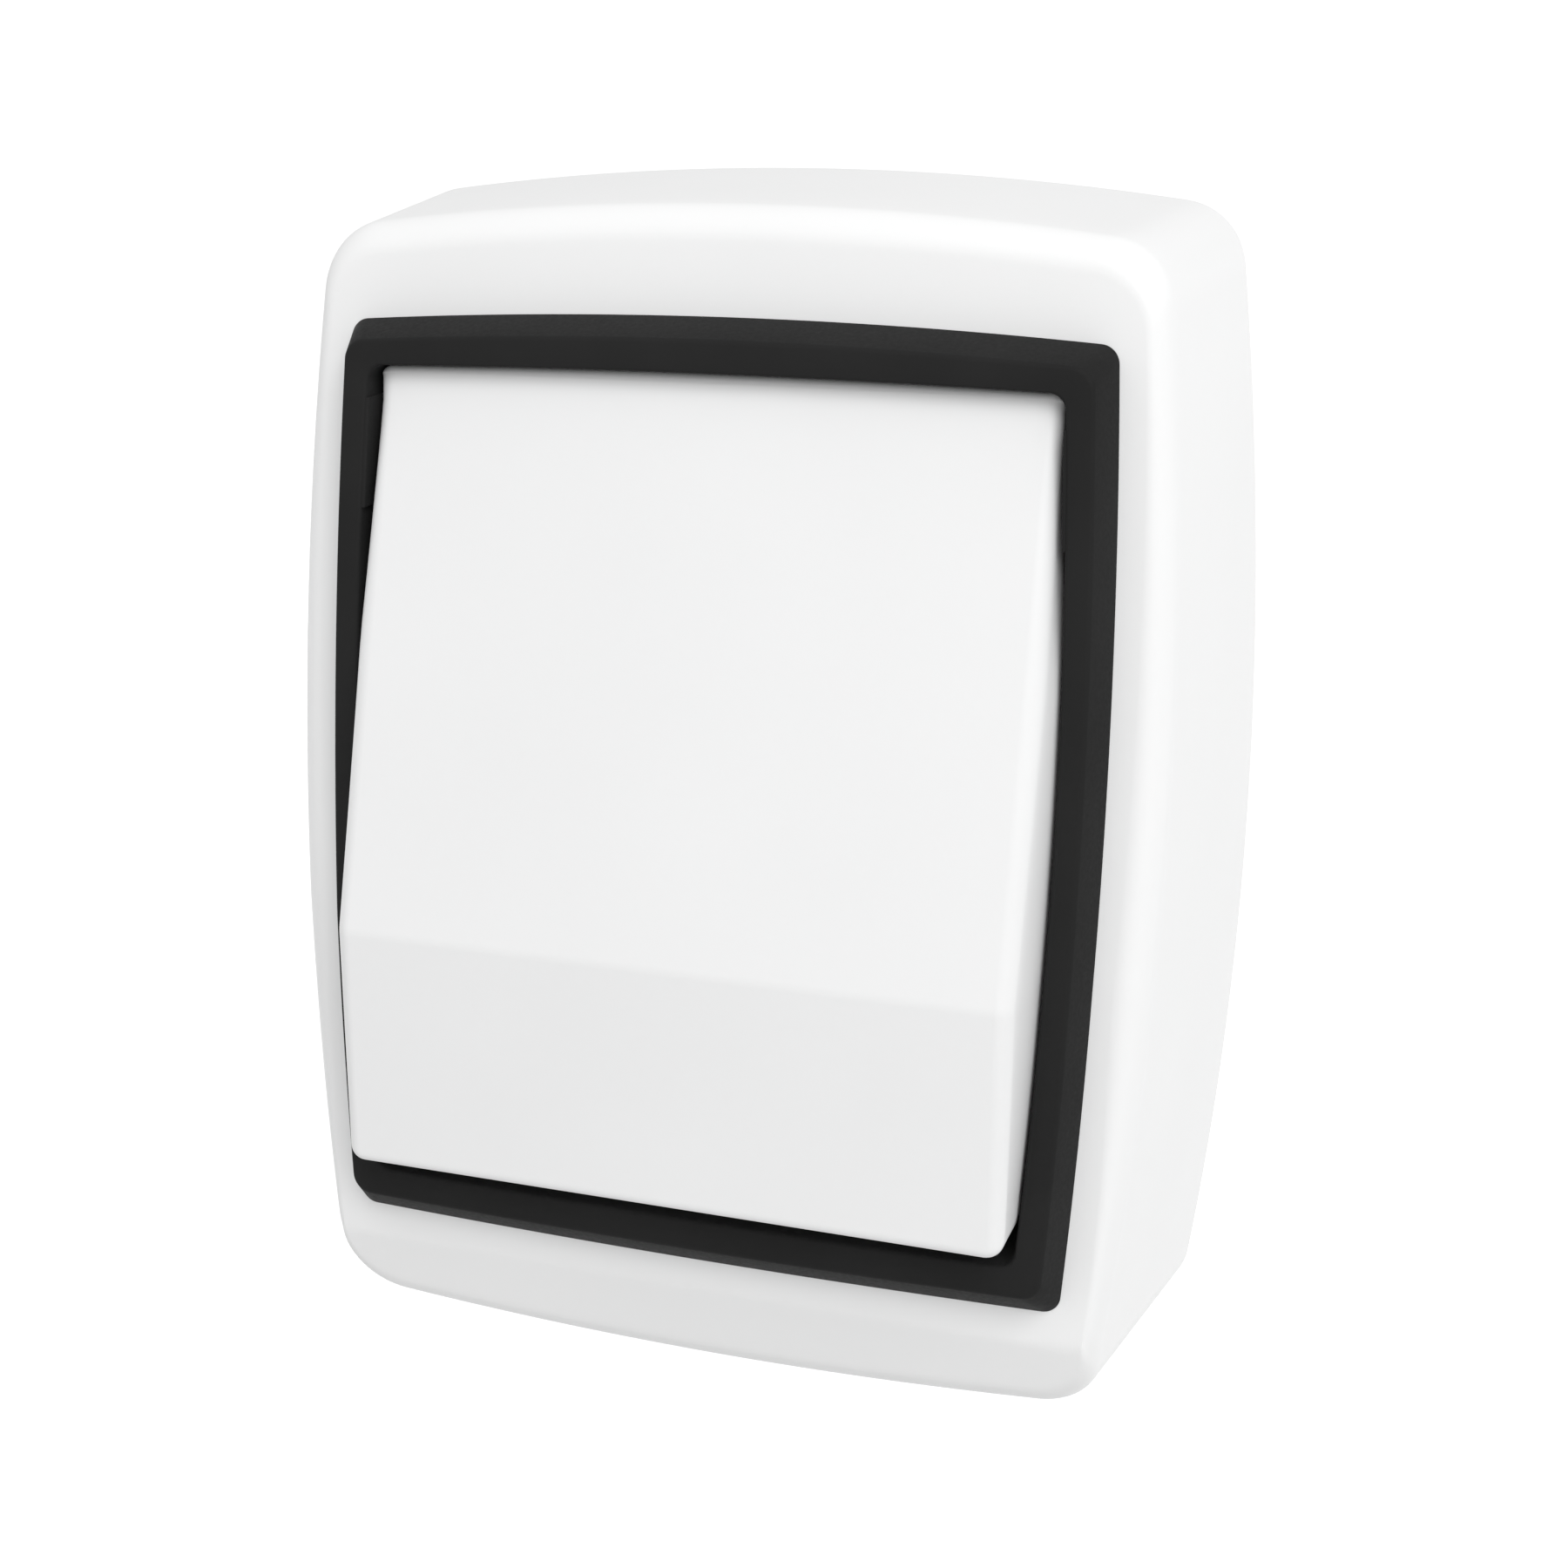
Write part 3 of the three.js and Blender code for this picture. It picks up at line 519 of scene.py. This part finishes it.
def make_frame():
    bm = bmesh.new()
    add_rings(bm, frame_rings())
    for sign in (-1, 1):
        tab = bmesh.new()
        inner, outer = sign * TAB_X[0], sign * (TAB_X[0] + SKIRT_WALL)
        xs = sorted((inner, outer))
        corners = add_box(
            tab,
            (xs[0], 0, TAB_Z[0]),
            (xs[1], TAB_BACK, TAB_Z[1]),
            front=lambda z: -(plane_depth(z) + FRAME_RAISE - TAB_BELOW_FACE),
        )
        for corner in corners:
            if corner.co.z > sum(TAB_Z) / 2 and math.isclose(corner.co.x, inner, abs_tol=1e-3):
                corner.co.x = sign * TAB_X[1]
        bmesh.ops.recalc_face_normals(tab, faces=tab.faces)
        bmesh.ops.bevel(
            tab,
            geom=tab.edges[:],
            offset=TAB_EDGE,
            segments=TAB_EDGE_SEGMENTS,
            affect="EDGES",
            profile=0.5,
        )
        merge(bm, tab)
    piece = new_piece("raised_frame", bm, "housing", "black_frame", ["bezel_frame"])
    shade(piece, SHARP["housing"])
    return piece


def merge(bm, other):
    """Adds another mesh to bm and frees it."""
    mesh = bpy.data.meshes.new("part")
    other.to_mesh(mesh)
    other.free()
    bm.from_mesh(mesh)
    bpy.data.meshes.remove(mesh)


# ------------------------------------------------------------------ rocker

ROCKER_TOP_RISE = 0.45  # past the CAD's rocker
ROCKER_BOTTOM_DROP = 0.12
ROCKER = {
    "half": ROCKER_HIGH.x,
    "top": ROCKER_HIGH.z + ROCKER_TOP_RISE,
    "bottom": ROCKER_LOW.z - ROCKER_BOTTOM_DROP,
}
ROCKER_TAPER = 0.0036  # how much wider each side gets per millimetre down from the top
ROCKER_CREASE_Y = -33.07
ROCKER_CREASE_Z = -6
ROCKER_TOP_FRONT_Y = -21.9
ROCKER_BOTTOM_FRONT_Y = -33.5
ROCKER_BACK_TOP_Y = -14.1
ROCKER_BACK_BOTTOM_Y = -24.1
ROCKER_CREASE_SOFT = 0.35
ROCKER_EDGES = {"side": 1.1, "top": 0.4, "bottom": 0.8}
ROCKER_CORNERS = {"top": 0.8, "bottom": 1.3}
ROCKER_BOW_HEIGHT = 2.5  # the opening's bow fades out over this stretch below the top edge
ROCKER_TOP_STEPS = 24
LEAST_CORNER = 0.02
ROCKER_WALL = 1.8
ROCKER_BACK_EDGE = 0.3
ROCKER_BACK_INSET = 0.95  # how far the top wall leans down towards its back
ROCKER_SIDE_GAP = 0.22  # least distance from the flared sides to the frame's opening
ROCKER_DRAFT = 0.36  # how much a side moves out per millimetre of depth
ROCKER_SEAT = 0.6  # the sides stop flaring this far behind the raised frame's face
ROCKER_SEAT_LEAST = 2.2  # but at least this many edge roundings behind the rocker's face
ROCKER_CORNER_STEPS = 10
ROCKER_EDGE_STEPS = 8
ROCKER_BACK_EDGE_STEPS = 3
ROCKER_WALL_STEPS = 4
ROCKER_BELOW_STEPS = 12
ROCKER_ABOVE_STEPS = 20
CREASE_STEPS = 4  # to each side of the crease, over the length of its rounding


def clamp(value):
    return min(max(value, 0), 1)


def rocker_front_y(z):
    """The rocker's face: two planes that meet in a soft crease."""
    upper = (ROCKER_TOP_FRONT_Y - ROCKER_CREASE_Y) / (ROCKER_HIGH.z - ROCKER_CREASE_Z)
    lower = (ROCKER_CREASE_Y - ROCKER_BOTTOM_FRONT_Y) / (ROCKER_CREASE_Z - ROCKER_LOW.z)
    y = ROCKER_CREASE_Y + lower * (z - ROCKER_CREASE_Z)
    return y + (upper - lower) * soft_ramp(z - ROCKER_CREASE_Z, ROCKER_CREASE_SOFT)


def rocker_back_y(z):
    """The plane in which the rocker's side walls end at the back."""
    share = (z - ROCKER_LOW.z) / (ROCKER_HIGH.z - ROCKER_LOW.z)
    return ROCKER_BACK_BOTTOM_Y + (ROCKER_BACK_TOP_Y - ROCKER_BACK_BOTTOM_Y) * share


def side_heights(low, high):
    """Heights along a side, closer together round the crease."""
    soft = ROCKER_CREASE_SOFT
    reach = CREASE_STEPS + 1
    near = [ROCKER_CREASE_Z + soft * k / CREASE_STEPS for k in range(-reach, reach + 1)]
    count = ROCKER_BELOW_STEPS
    below = [low + (near[0] - low) * k / count for k in range(count)]
    count = ROCKER_ABOVE_STEPS
    above = [near[-1] + (high - near[-1]) * k / count for k in range(1, count + 1)]
    return below + near + above


def rocker_outline(side=0.0, top=0.0, bottom=0.0):
    """Rounded rectangle round the rocker, less a margin at each side, as (x, z) points."""
    half = ROCKER["half"] - side
    low, high = ROCKER["bottom"] + bottom, ROCKER["top"] - top
    low_r = max(ROCKER_CORNERS["bottom"] - side, LEAST_CORNER)
    top_r = max(ROCKER_CORNERS["top"] - side, LEAST_CORNER)
    heights = side_heights(low + low_r, high - top_r)
    lower = Vector((half - low_r, low + low_r))
    upper = Vector((half - top_r, high - top_r))
    right = arc(lower, low_r, -math.pi / 2, 0, ROCKER_CORNER_STEPS)[:-1]
    right += [Vector((half, z)) for z in heights]
    right += arc(upper, top_r, 0, math.pi / 2, ROCKER_CORNER_STEPS)[1:]
    shares = [1 - 2 * k / ROCKER_TOP_STEPS for k in range(1, ROCKER_TOP_STEPS)]
    top_edge = [Vector((upper.x * share, high)) for share in shares]
    return [shaped(p) for p in right + top_edge + mirrored(right)]


def near_top(z, reach):
    """Rises from 0 to 1 over the last stretch below the rocker's top."""
    return clamp((z - ROCKER["top"]) / reach + 1)


def near_bottom(z, reach):
    """Rises from 0 to 1 over the last stretch above the rocker's bottom."""
    return clamp((ROCKER["bottom"] - z) / reach + 1)


def near_side(x, reach):
    """Rises from 0 to 1 over the last stretch before either side of the rocker."""
    return clamp((abs(x) - ROCKER["half"]) / reach + 1)


def shaped(p):
    """A point of the rocker's outline with the sides' taper and the top's bow."""
    wider = ROCKER_TAPER * (ROCKER["top"] - p.y) * p.x / ROCKER["half"]
    drop = near_top(p.y, ROCKER_BOW_HEIGHT) * p.x**2 / (2 * OPENING["top_radius"])
    return Vector((p.x + wider, p.y - drop))


def edge_radius(p):
    """Rounding of the rocker's front edge at a point of its outline.

    It reaches its top value one corner below the top edge, where the corner starts.
    """
    side = ROCKER_EDGES["side"]
    above = near_top(p.y + ROCKER_CORNERS["top"], ROCKER_CORNERS["top"])
    below = near_bottom(p.y, ROCKER_CORNERS["bottom"])
    return side + (ROCKER_EDGES["top"] - side) * above + (ROCKER_EDGES["bottom"] - side) * below


def opening_half(z):
    """Half width of the frame's opening at a height."""
    radius = OPENING["side_radius"]
    return OPENING["half"] - radius + math.sqrt(radius**2 - (z - OPENING["arc_z"]) ** 2)


def seat_y(z):
    """Depth at which the sides stop flaring."""
    return ROCKER_SEAT - FRAME_RAISE - plane_depth(z)


def flared(p):
    """A point of the rocker's outline with the sides moved out by their draft."""
    flare = ROCKER_DRAFT * max(seat_y(p.y) - rocker_front_y(p.y), 0)
    room = max(opening_half(p.y) - ROCKER_SIDE_GAP - abs(p.x), 0)
    flare = min(flare, room) * near_side(p.x, ROCKER_CORNERS["top"])
    return Vector((p.x + math.copysign(flare, p.x), p.y))


def lowered(p):
    """A point of the outline at the rocker's back, where the top wall is a little lower."""
    return Vector((p.x, p.y - ROCKER_BACK_INSET * near_top(p.y, ROCKER_BOW_HEIGHT)))


def rocker_rings():
    """Rings of the rocker's shell, from its face round the edge and back to its hollow inside."""
    outer = rocker_outline()
    flare = [flared(p) for p in outer]
    face = ring_at(rocker_outline(**ROCKER_EDGES), lambda z: -rocker_front_y(z))
    edge = ring_at(outer, lambda z: -rocker_front_y(z))
    radii = [edge_radius(p) for p in outer]
    seat = [
        Vector((f.x, max(e.y + ROCKER_SEAT_LEAST * r, seat_y(f.y)), f.y))
        for f, e, r in zip(flare, edge, radii)
    ]
    wall_start = [e + (s - e).normalized() * r for e, s, r in zip(edge, seat, radii)]
    back = ring_at([lowered(p) for p in flare], lambda z: -rocker_back_y(z))
    inner = rocker_outline(ROCKER_WALL, ROCKER_WALL, ROCKER_WALL)
    inner_back = ring_at(inner, lambda z: -rocker_back_y(z))
    inner_front = ring_at(inner, lambda z: -rocker_front_y(z) - ROCKER_WALL)
    rings = curve_rings(face, edge, wall_start, ROCKER_EDGE_STEPS)
    shares = [k / ROCKER_WALL_STEPS for k in range(1, ROCKER_WALL_STEPS + 1)]
    rings += [lerp_rings(wall_start, seat, share) for share in shares]
    back_start = towards(back, seat, ROCKER_BACK_EDGE)
    back_end = towards(back, inner_back, ROCKER_BACK_EDGE)
    rings += curve_rings(back_start, back, back_end, ROCKER_BACK_EDGE_STEPS)
    return rings + [inner_back, inner_front]


def fill(bm, loop):
    """Fills a rocker outline with strips from side to side, and one face along its top edge."""
    count = (len(loop) - ROCKER_TOP_STEPS + 1) // 2
    right, left = loop[:count], loop[-count:][::-1]
    for i in range(count - 1):
        bm.faces.new((right[i], right[i + 1], left[i + 1], left[i]))
    bm.faces.new(loop[count - 1 : len(loop) - count + 1])


def make_rocker():
    bm = bmesh.new()
    loops = add_rings(bm, rocker_rings(), closed=False)
    fill(bm, loops[0])
    fill(bm, loops[-1])
    piece = new_piece("rocker_cap", bm, "rocker", "white_rocker", ["rocker"])
    shade(piece, SHARP["rocker"])
    return piece


# ------------------------------------------------------------------ grommet

GROMMET_STEPS = 72
GROMMET_PROFILE = [  # (radius, y) round the section, with an edge radius
    (1.0, -1.5, 0.1),
    (4.0, -1.5, 0.4),
    (4.6, -3.6, 0.2),
    (6.4, -3.6, 0.3),
    (6.4, -2.3, 0.3),
    (5.2, -2.3, 0),
    (5.2, -0.2, 0.25),
    (4.0, -0.2, 0.25),
    (4.0, -0.9, 0.2),
    (1.0, -0.9, 0.1),
]


def make_grommet():
    centre = (GROMMET_LOW + GROMMET_HIGH) / 2
    turns = [2 * math.pi * k / GROMMET_STEPS for k in range(GROMMET_STEPS)]
    rings = [
        [Vector((r * math.cos(a), y, centre.z + r * math.sin(a))) for a in turns]
        for r, y, _ in GROMMET_PROFILE
    ]
    bm = bmesh.new()
    add_rings(bm, soften(rings, [edge for _, _, edge in GROMMET_PROFILE]))
    piece = new_piece("entry_grommet", bm, "housing", "grey_rubber", ["cable_grommet"])
    shade(piece, SHARP["grommet"])
    return piece


# ------------------------------------------------------------------ toggle spring

PIVOT = Vector((0, -19.5, 2.9))  # of the cradle that holds the spring
REST_TILT = math.radians(-5.5)  # of the cradle, from the middle of its swing
SPRING_RADIUS = 1.2
SPRING_WIRE = 0.2  # radius of the wire
SPRING_FRONT = -1.7  # both ends are measured from the pivot
SPRING_BACK = 1.6
SPRING_TURNS = 4.5
SPRING_STEPS = 216
WIRE_STEPS = 12


def spring_ring(share):
    """Section of the upright spring's wire at a share of its length, round the pivot."""
    turn = share * SPRING_TURNS * 2 * math.pi
    outwards = Vector((math.cos(turn), 0, math.sin(turn)))
    y = SPRING_FRONT + (SPRING_BACK - SPRING_FRONT) * share
    centre = outwards * SPRING_RADIUS + Vector((0, y, 0))
    angles = [2 * math.pi * k / WIRE_STEPS for k in range(WIRE_STEPS)]
    along = Vector((0, 1, 0))
    return [
        centre + SPRING_WIRE * (math.cos(a) * outwards + along * math.sin(a)) for a in angles
    ]


def make_spring():
    """Spring that pushes the toggle pin out."""
    tilt = Matrix.Rotation(REST_TILT, 3, "X")
    sections = [spring_ring(k / SPRING_STEPS) for k in range(SPRING_STEPS + 1)]
    bm = bmesh.new()
    loops = add_rings(bm, [[PIVOT + tilt @ p for p in ring] for ring in sections], closed=False)
    bm.faces.new(loops[0])
    bm.faces.new(loops[-1])
    piece = new_piece("toggle_spring", bm, "rocker", "spring_steel", ["plunger_spring"])
    shade(piece, SHARP["spring"])
    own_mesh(piece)
    return piece


# ------------------------------------------------------------------ materials

FAINT_SHADE = 0.985  # darkest share of a moulded white's tone
NOISE_RANGE = (0.3, 0.7)  # nearly all of a noise lies between these values
CAD_BEVEL = 0.12
CAD_BEVEL_SEGMENTS = 2
CAD_BEVEL_ANGLE = 40  # degrees


class Nodes:
    """A material's nodes, with short calls to add and join them."""

    def __init__(self, name):
        self.material = bpy.data.materials.new(name)
        self.material.use_nodes = True
        self.tree = self.material.node_tree
        self.shader = self.tree.nodes["Principled BSDF"]
        self.where = self.add("ShaderNodeTexCoord").outputs["Object"]

    def add(self, kind, **values):
        node = self.tree.nodes.new(kind)
        for key, value in values.items():
            setattr(node, key, value)
        return node

    def join(self, output, node_input):
        self.tree.links.new(output, node_input)

    def noise(self, size_mm, detail=3.0, roughness=0.5, stretch=(1, 1, 1)):
        """Noise whose features are about the given size; stretch scales its axes."""
        mapping = self.add("ShaderNodeMapping")
        mapping.inputs["Scale"].default_value = stretch
        self.join(self.where, mapping.inputs["Vector"])
        noise = self.add("ShaderNodeTexNoise")
        noise.inputs["Scale"].default_value = 1 / (size_mm * MM)
        noise.inputs["Detail"].default_value = detail
        noise.inputs["Roughness"].default_value = roughness
        self.join(mapping.outputs["Vector"], noise.inputs["Vector"])
        return noise.outputs["Fac"]

    def between(self, fac, low, high):
        """A number that follows fac from low to high."""
        span = self.add("ShaderNodeMapRange")
        span.inputs["From Min"].default_value = NOISE_RANGE[0]
        span.inputs["From Max"].default_value = NOISE_RANGE[1]
        span.inputs["To Min"].default_value = low
        span.inputs["To Max"].default_value = high
        self.join(fac, span.inputs["Value"])
        return span.outputs["Result"]

    def colours(self, fac, low, high):
        """A colour that follows fac between two colours."""
        ramp = self.add("ShaderNodeValToRGB")
        for element, position, colour in zip(ramp.color_ramp.elements, NOISE_RANGE, (low, high)):
            element.position = position
            element.color = (*colour, 1)
        self.join(fac, ramp.inputs["Fac"])
        return ramp.outputs["Color"]

    def bump(self, layers):
        """Stacked bumps: (height output, depth in millimetres)."""
        normal = None
        for height, depth_mm in layers:
            bump = self.add("ShaderNodeBump")
            bump.inputs["Strength"].default_value = 1
            bump.inputs["Distance"].default_value = depth_mm * MM
            self.join(height, bump.inputs["Height"])
            if normal:
                self.join(normal, bump.inputs["Normal"])
            normal = bump.outputs["Normal"]
        self.join(normal, self.shader.inputs["Normal"])

    def set(self, name, value):
        self.shader.inputs[name].default_value = value


def moulded_white(name, tone, roughness):
    """Glossy moulded thermoplastic: even colour, faint flow clouds, very fine orange peel."""
    m = Nodes(name)
    clouds = m.noise(size_mm=18, detail=2)
    peel = m.noise(size_mm=1.6, detail=2)
    grain = m.noise(size_mm=0.35, detail=2)
    low = tuple(FAINT_SHADE * c for c in tone)
    m.join(m.colours(clouds, low, tone), m.shader.inputs["Base Color"])
    m.join(m.between(grain, roughness - 0.03, roughness + 0.04), m.shader.inputs["Roughness"])
    m.bump([(peel, 0.003), (grain, 0.0012)])
    m.set("Specular IOR Level", 0.3)
    return m.material


def satin_plastic(name, low, high, roughness, grain_mm, depth_mm, gloss=0.5):
    """Spark-eroded plastic: fine even grain that breaks up the gloss."""
    m = Nodes(name)
    clouds = m.noise(size_mm=9, detail=3)
    grain = m.noise(grain_mm, detail=3)
    m.join(m.colours(clouds, low, high), m.shader.inputs["Base Color"])
    m.join(m.between(grain, roughness - 0.05, roughness + 0.06), m.shader.inputs["Roughness"])
    m.bump([(grain, depth_mm)])
    m.set("Specular IOR Level", gloss)
    return m.material


def soft_rubber(name, low, high):
    """Matt rubber with a coarse grain."""
    m = Nodes(name)
    clouds = m.noise(size_mm=4, detail=4)
    grain = m.noise(size_mm=0.3, detail=4, roughness=0.65)
    m.join(m.colours(clouds, low, high), m.shader.inputs["Base Color"])
    m.join(m.between(grain, 0.68, 0.85), m.shader.inputs["Roughness"])
    m.bump([(grain, 0.02), (clouds, 0.02)])
    return m.material


def metal(name, low, high, roughness, stretch=(1, 1, 1), grain_mm=0.5):
    """Bare metal with fine drawn or brushed lines along one axis."""
    m = Nodes(name)
    stains = m.noise(size_mm=5, detail=4)
    lines = m.noise(grain_mm, detail=3, stretch=stretch)
    m.join(m.colours(stains, low, high), m.shader.inputs["Base Color"])
    m.join(m.between(lines, roughness - 0.07, roughness + 0.09), m.shader.inputs["Roughness"])
    m.bump([(lines, 0.004)])
    m.set("Metallic", 1)
    return m.material


def grey(value):
    return (value, value, value)


def slot_materials():
    """One material for each slot of the CAD."""
    return {
        "white_shell": moulded_white("white_shell", (0.88, 0.882, 0.882), roughness=0.38),
        "white_rocker": moulded_white("white_rocker", (0.84, 0.842, 0.843), roughness=0.36),
        "white_base": satin_plastic(
            "white_base",
            low=(0.79, 0.8, 0.8),
            high=(0.82, 0.83, 0.83),
            roughness=0.48,
            grain_mm=0.35,
            depth_mm=0.008,
        ),
        "black_frame": satin_plastic(
            "black_frame",
            low=grey(0.0185),
            high=grey(0.0215),
            roughness=0.55,
            grain_mm=0.3,
            depth_mm=0.006,
            gloss=0.05,
        ),
        "grey_rubber": soft_rubber(
            "grey_rubber", low=(0.035, 0.036, 0.038), high=(0.05, 0.052, 0.054)
        ),
        "zinc_steel": metal(
            "zinc_steel",
            low=(0.5, 0.52, 0.56),
            high=(0.63, 0.63, 0.62),
            roughness=0.33,
            stretch=(0.1, 1, 1),
        ),
        "thermoset": satin_plastic(
            "thermoset",
            low=(0.66, 0.63, 0.55),
            high=(0.72, 0.7, 0.63),
            roughness=0.55,
            grain_mm=0.3,
            depth_mm=0.01,
        ),
        "grey_plastic": satin_plastic(
            "grey_plastic",
            low=(0.25, 0.27, 0.29),
            high=(0.29, 0.31, 0.33),
            roughness=0.5,
            grain_mm=0.3,
            depth_mm=0.008,
        ),
        "brass": metal(
            "brass",
            low=(0.56, 0.36, 0.1),
            high=(0.7, 0.48, 0.17),
            roughness=0.3,
            stretch=(0.15, 1, 1),
        ),
        "silver": metal(
            "silver", low=(0.72, 0.72, 0.71), high=grey(0.82), roughness=0.24
        ),
        "spring_steel": metal(
            "spring_steel",
            low=(0.38, 0.38, 0.39),
            high=(0.48, 0.48, 0.5),
            roughness=0.28,
            grain_mm=0.2,
        ),
    }


def dress(pieces, materials):
    """Gives every new piece and every CAD node that still shows its slot's material."""
    for piece in pieces:
        piece.data.materials.clear()
        piece.data.materials.append(materials[piece["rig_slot"]])
    for entry in frame["record"]["subparts"]:
        node = frame["nodes"][entry["node"]]
        if node.hide_render:
            continue
        node.data.materials.clear()
        node.data.materials.append(materials[entry["material_slot"]])
        shade(node, SHARP["cad"])
        bevel = node.modifiers.new("edges", "BEVEL")
        bevel.width = CAD_BEVEL * MM
        bevel.segments = CAD_BEVEL_SEGMENTS
        bevel.limit_method = "ANGLE"
        bevel.angle_limit = math.radians(CAD_BEVEL_ANGLE)


# ------------------------------------------------------------------ stage, lights and camera

FLOOR_Z = -0.2
FLOOR_HALF_WIDTH = 8
FLOOR_FRONT = -6
FLOOR_BACK = 5
SWEEP_RADIUS = 1.2
SWEEP_STEPS = 16
FLOOR_TONE = 0.74
FLOOR_ROUGHNESS = 0.9
GLOW = 0.6  # strength where it is full; it starts and ends at these distances behind the wall
GLOW_START = 0.03
GLOW_END = 0.14

WORLD_STRENGTH = 0.66
KEY_LIGHT = {"azimuth": 33, "elevation": 43, "distance": 0.8, "size": 0.5, "share": 0.57}
LIGHT_TARGET = Vector((0, -0.02, 0))

CAMERA_PLACE = Vector((0.0515, -0.1624, 0.05105))
CAMERA_TURN = (71.6465, 0, 17.9488)  # degrees about X, Y and Z
CAMERA_LENS = 51.21
CAMERA_SENSOR = 36
CAMERA_SHIFT = (-0.0053, 0.0209)
CAMERA_NEAR = 0.01


def floor_material():
    """Pale floor that is lit up behind the object."""
    m = Nodes("pale_floor")
    m.set("Base Color", (*grey(FLOOR_TONE), 1))
    m.set("Roughness", FLOOR_ROUGHNESS)
    axes = m.add("ShaderNodeSeparateXYZ")
    m.join(m.where, axes.inputs["Vector"])
    glow = m.add("ShaderNodeMapRange")
    glow.interpolation_type = "SMOOTHSTEP"
    glow.inputs["From Min"].default_value = GLOW_START
    glow.inputs["From Max"].default_value = GLOW_END
    glow.inputs["To Max"].default_value = GLOW
    m.join(axes.outputs["Y"], glow.inputs["Value"])
    m.set("Emission Color", (1, 1, 1, 1))
    m.join(glow.outputs["Result"], m.shader.inputs["Emission Strength"])
    return m.material


def make_floor():
    """Flat floor that sweeps up far behind the object."""
    profile = [(FLOOR_FRONT, FLOOR_Z), (FLOOR_BACK, FLOOR_Z)]
    for k in range(1, SWEEP_STEPS + 1):
        a = math.pi / 2 * k / SWEEP_STEPS
        profile.append(
            (FLOOR_BACK + SWEEP_RADIUS * math.sin(a), FLOOR_Z + SWEEP_RADIUS * (1 - math.cos(a)))
        )
    bm = bmesh.new()
    rows = [
        [bm.verts.new((x, y, z)) for x in (-FLOOR_HALF_WIDTH, FLOOR_HALF_WIDTH)] for y, z in profile
    ]
    for near, far in zip(rows, rows[1:]):
        bm.faces.new((near[0], near[1], far[1], far[0]))
    floor = add_object("floor", bm)
    floor.data.polygons.foreach_set("use_smooth", [True] * len(floor.data.polygons))
    floor.data.materials.append(floor_material())


def make_world(strength):
    world = bpy.data.worlds.new("studio")
    world.use_nodes = True
    background = world.node_tree.nodes["Background"]
    background.inputs["Color"].default_value = (1, 1, 1, 1)
    background.inputs["Strength"].default_value = strength
    bpy.context.scene.world = world


def soft_light(name, azimuth, elevation, distance, size, share):
    """Square light aimed at the object; share is how much it adds to a white face it faces."""
    a, e = math.radians(azimuth), math.radians(elevation)
    away = Vector((math.sin(a) * math.cos(e), -math.cos(a) * math.cos(e), math.sin(e)))
    data = bpy.data.lights.new(name, "AREA")
    data.shape = "SQUARE"
    data.size = size
    data.energy = share * (math.pi * distance) ** 2
    light = bpy.data.objects.new(name, data)
    bpy.context.scene.collection.objects.link(light)
    light.location = LIGHT_TARGET + away * distance
    light.rotation_euler = (-away).to_track_quat("-Z", "Y").to_euler()


def make_camera():
    data = bpy.data.cameras.new("camera")
    data.lens = CAMERA_LENS
    data.sensor_width = CAMERA_SENSOR
    data.shift_x, data.shift_y = CAMERA_SHIFT
    data.clip_start = CAMERA_NEAR
    camera = bpy.data.objects.new("camera", data)
    bpy.context.scene.collection.objects.link(camera)
    camera.location = CAMERA_PLACE
    camera.rotation_euler = [math.radians(v) for v in CAMERA_TURN]
    bpy.context.scene.camera = camera


def main():
    make_camera()
    make_floor()
    make_world(WORLD_STRENGTH)
    soft_light("key", **KEY_LIGHT)
    bpy.context.scene.view_settings.view_transform = "Standard"
    makers = (make_cover, make_shutter, make_frame, make_rocker, make_grommet, make_spring)
    pieces = [make() for make in makers]
    dress(pieces, slot_materials())


main()
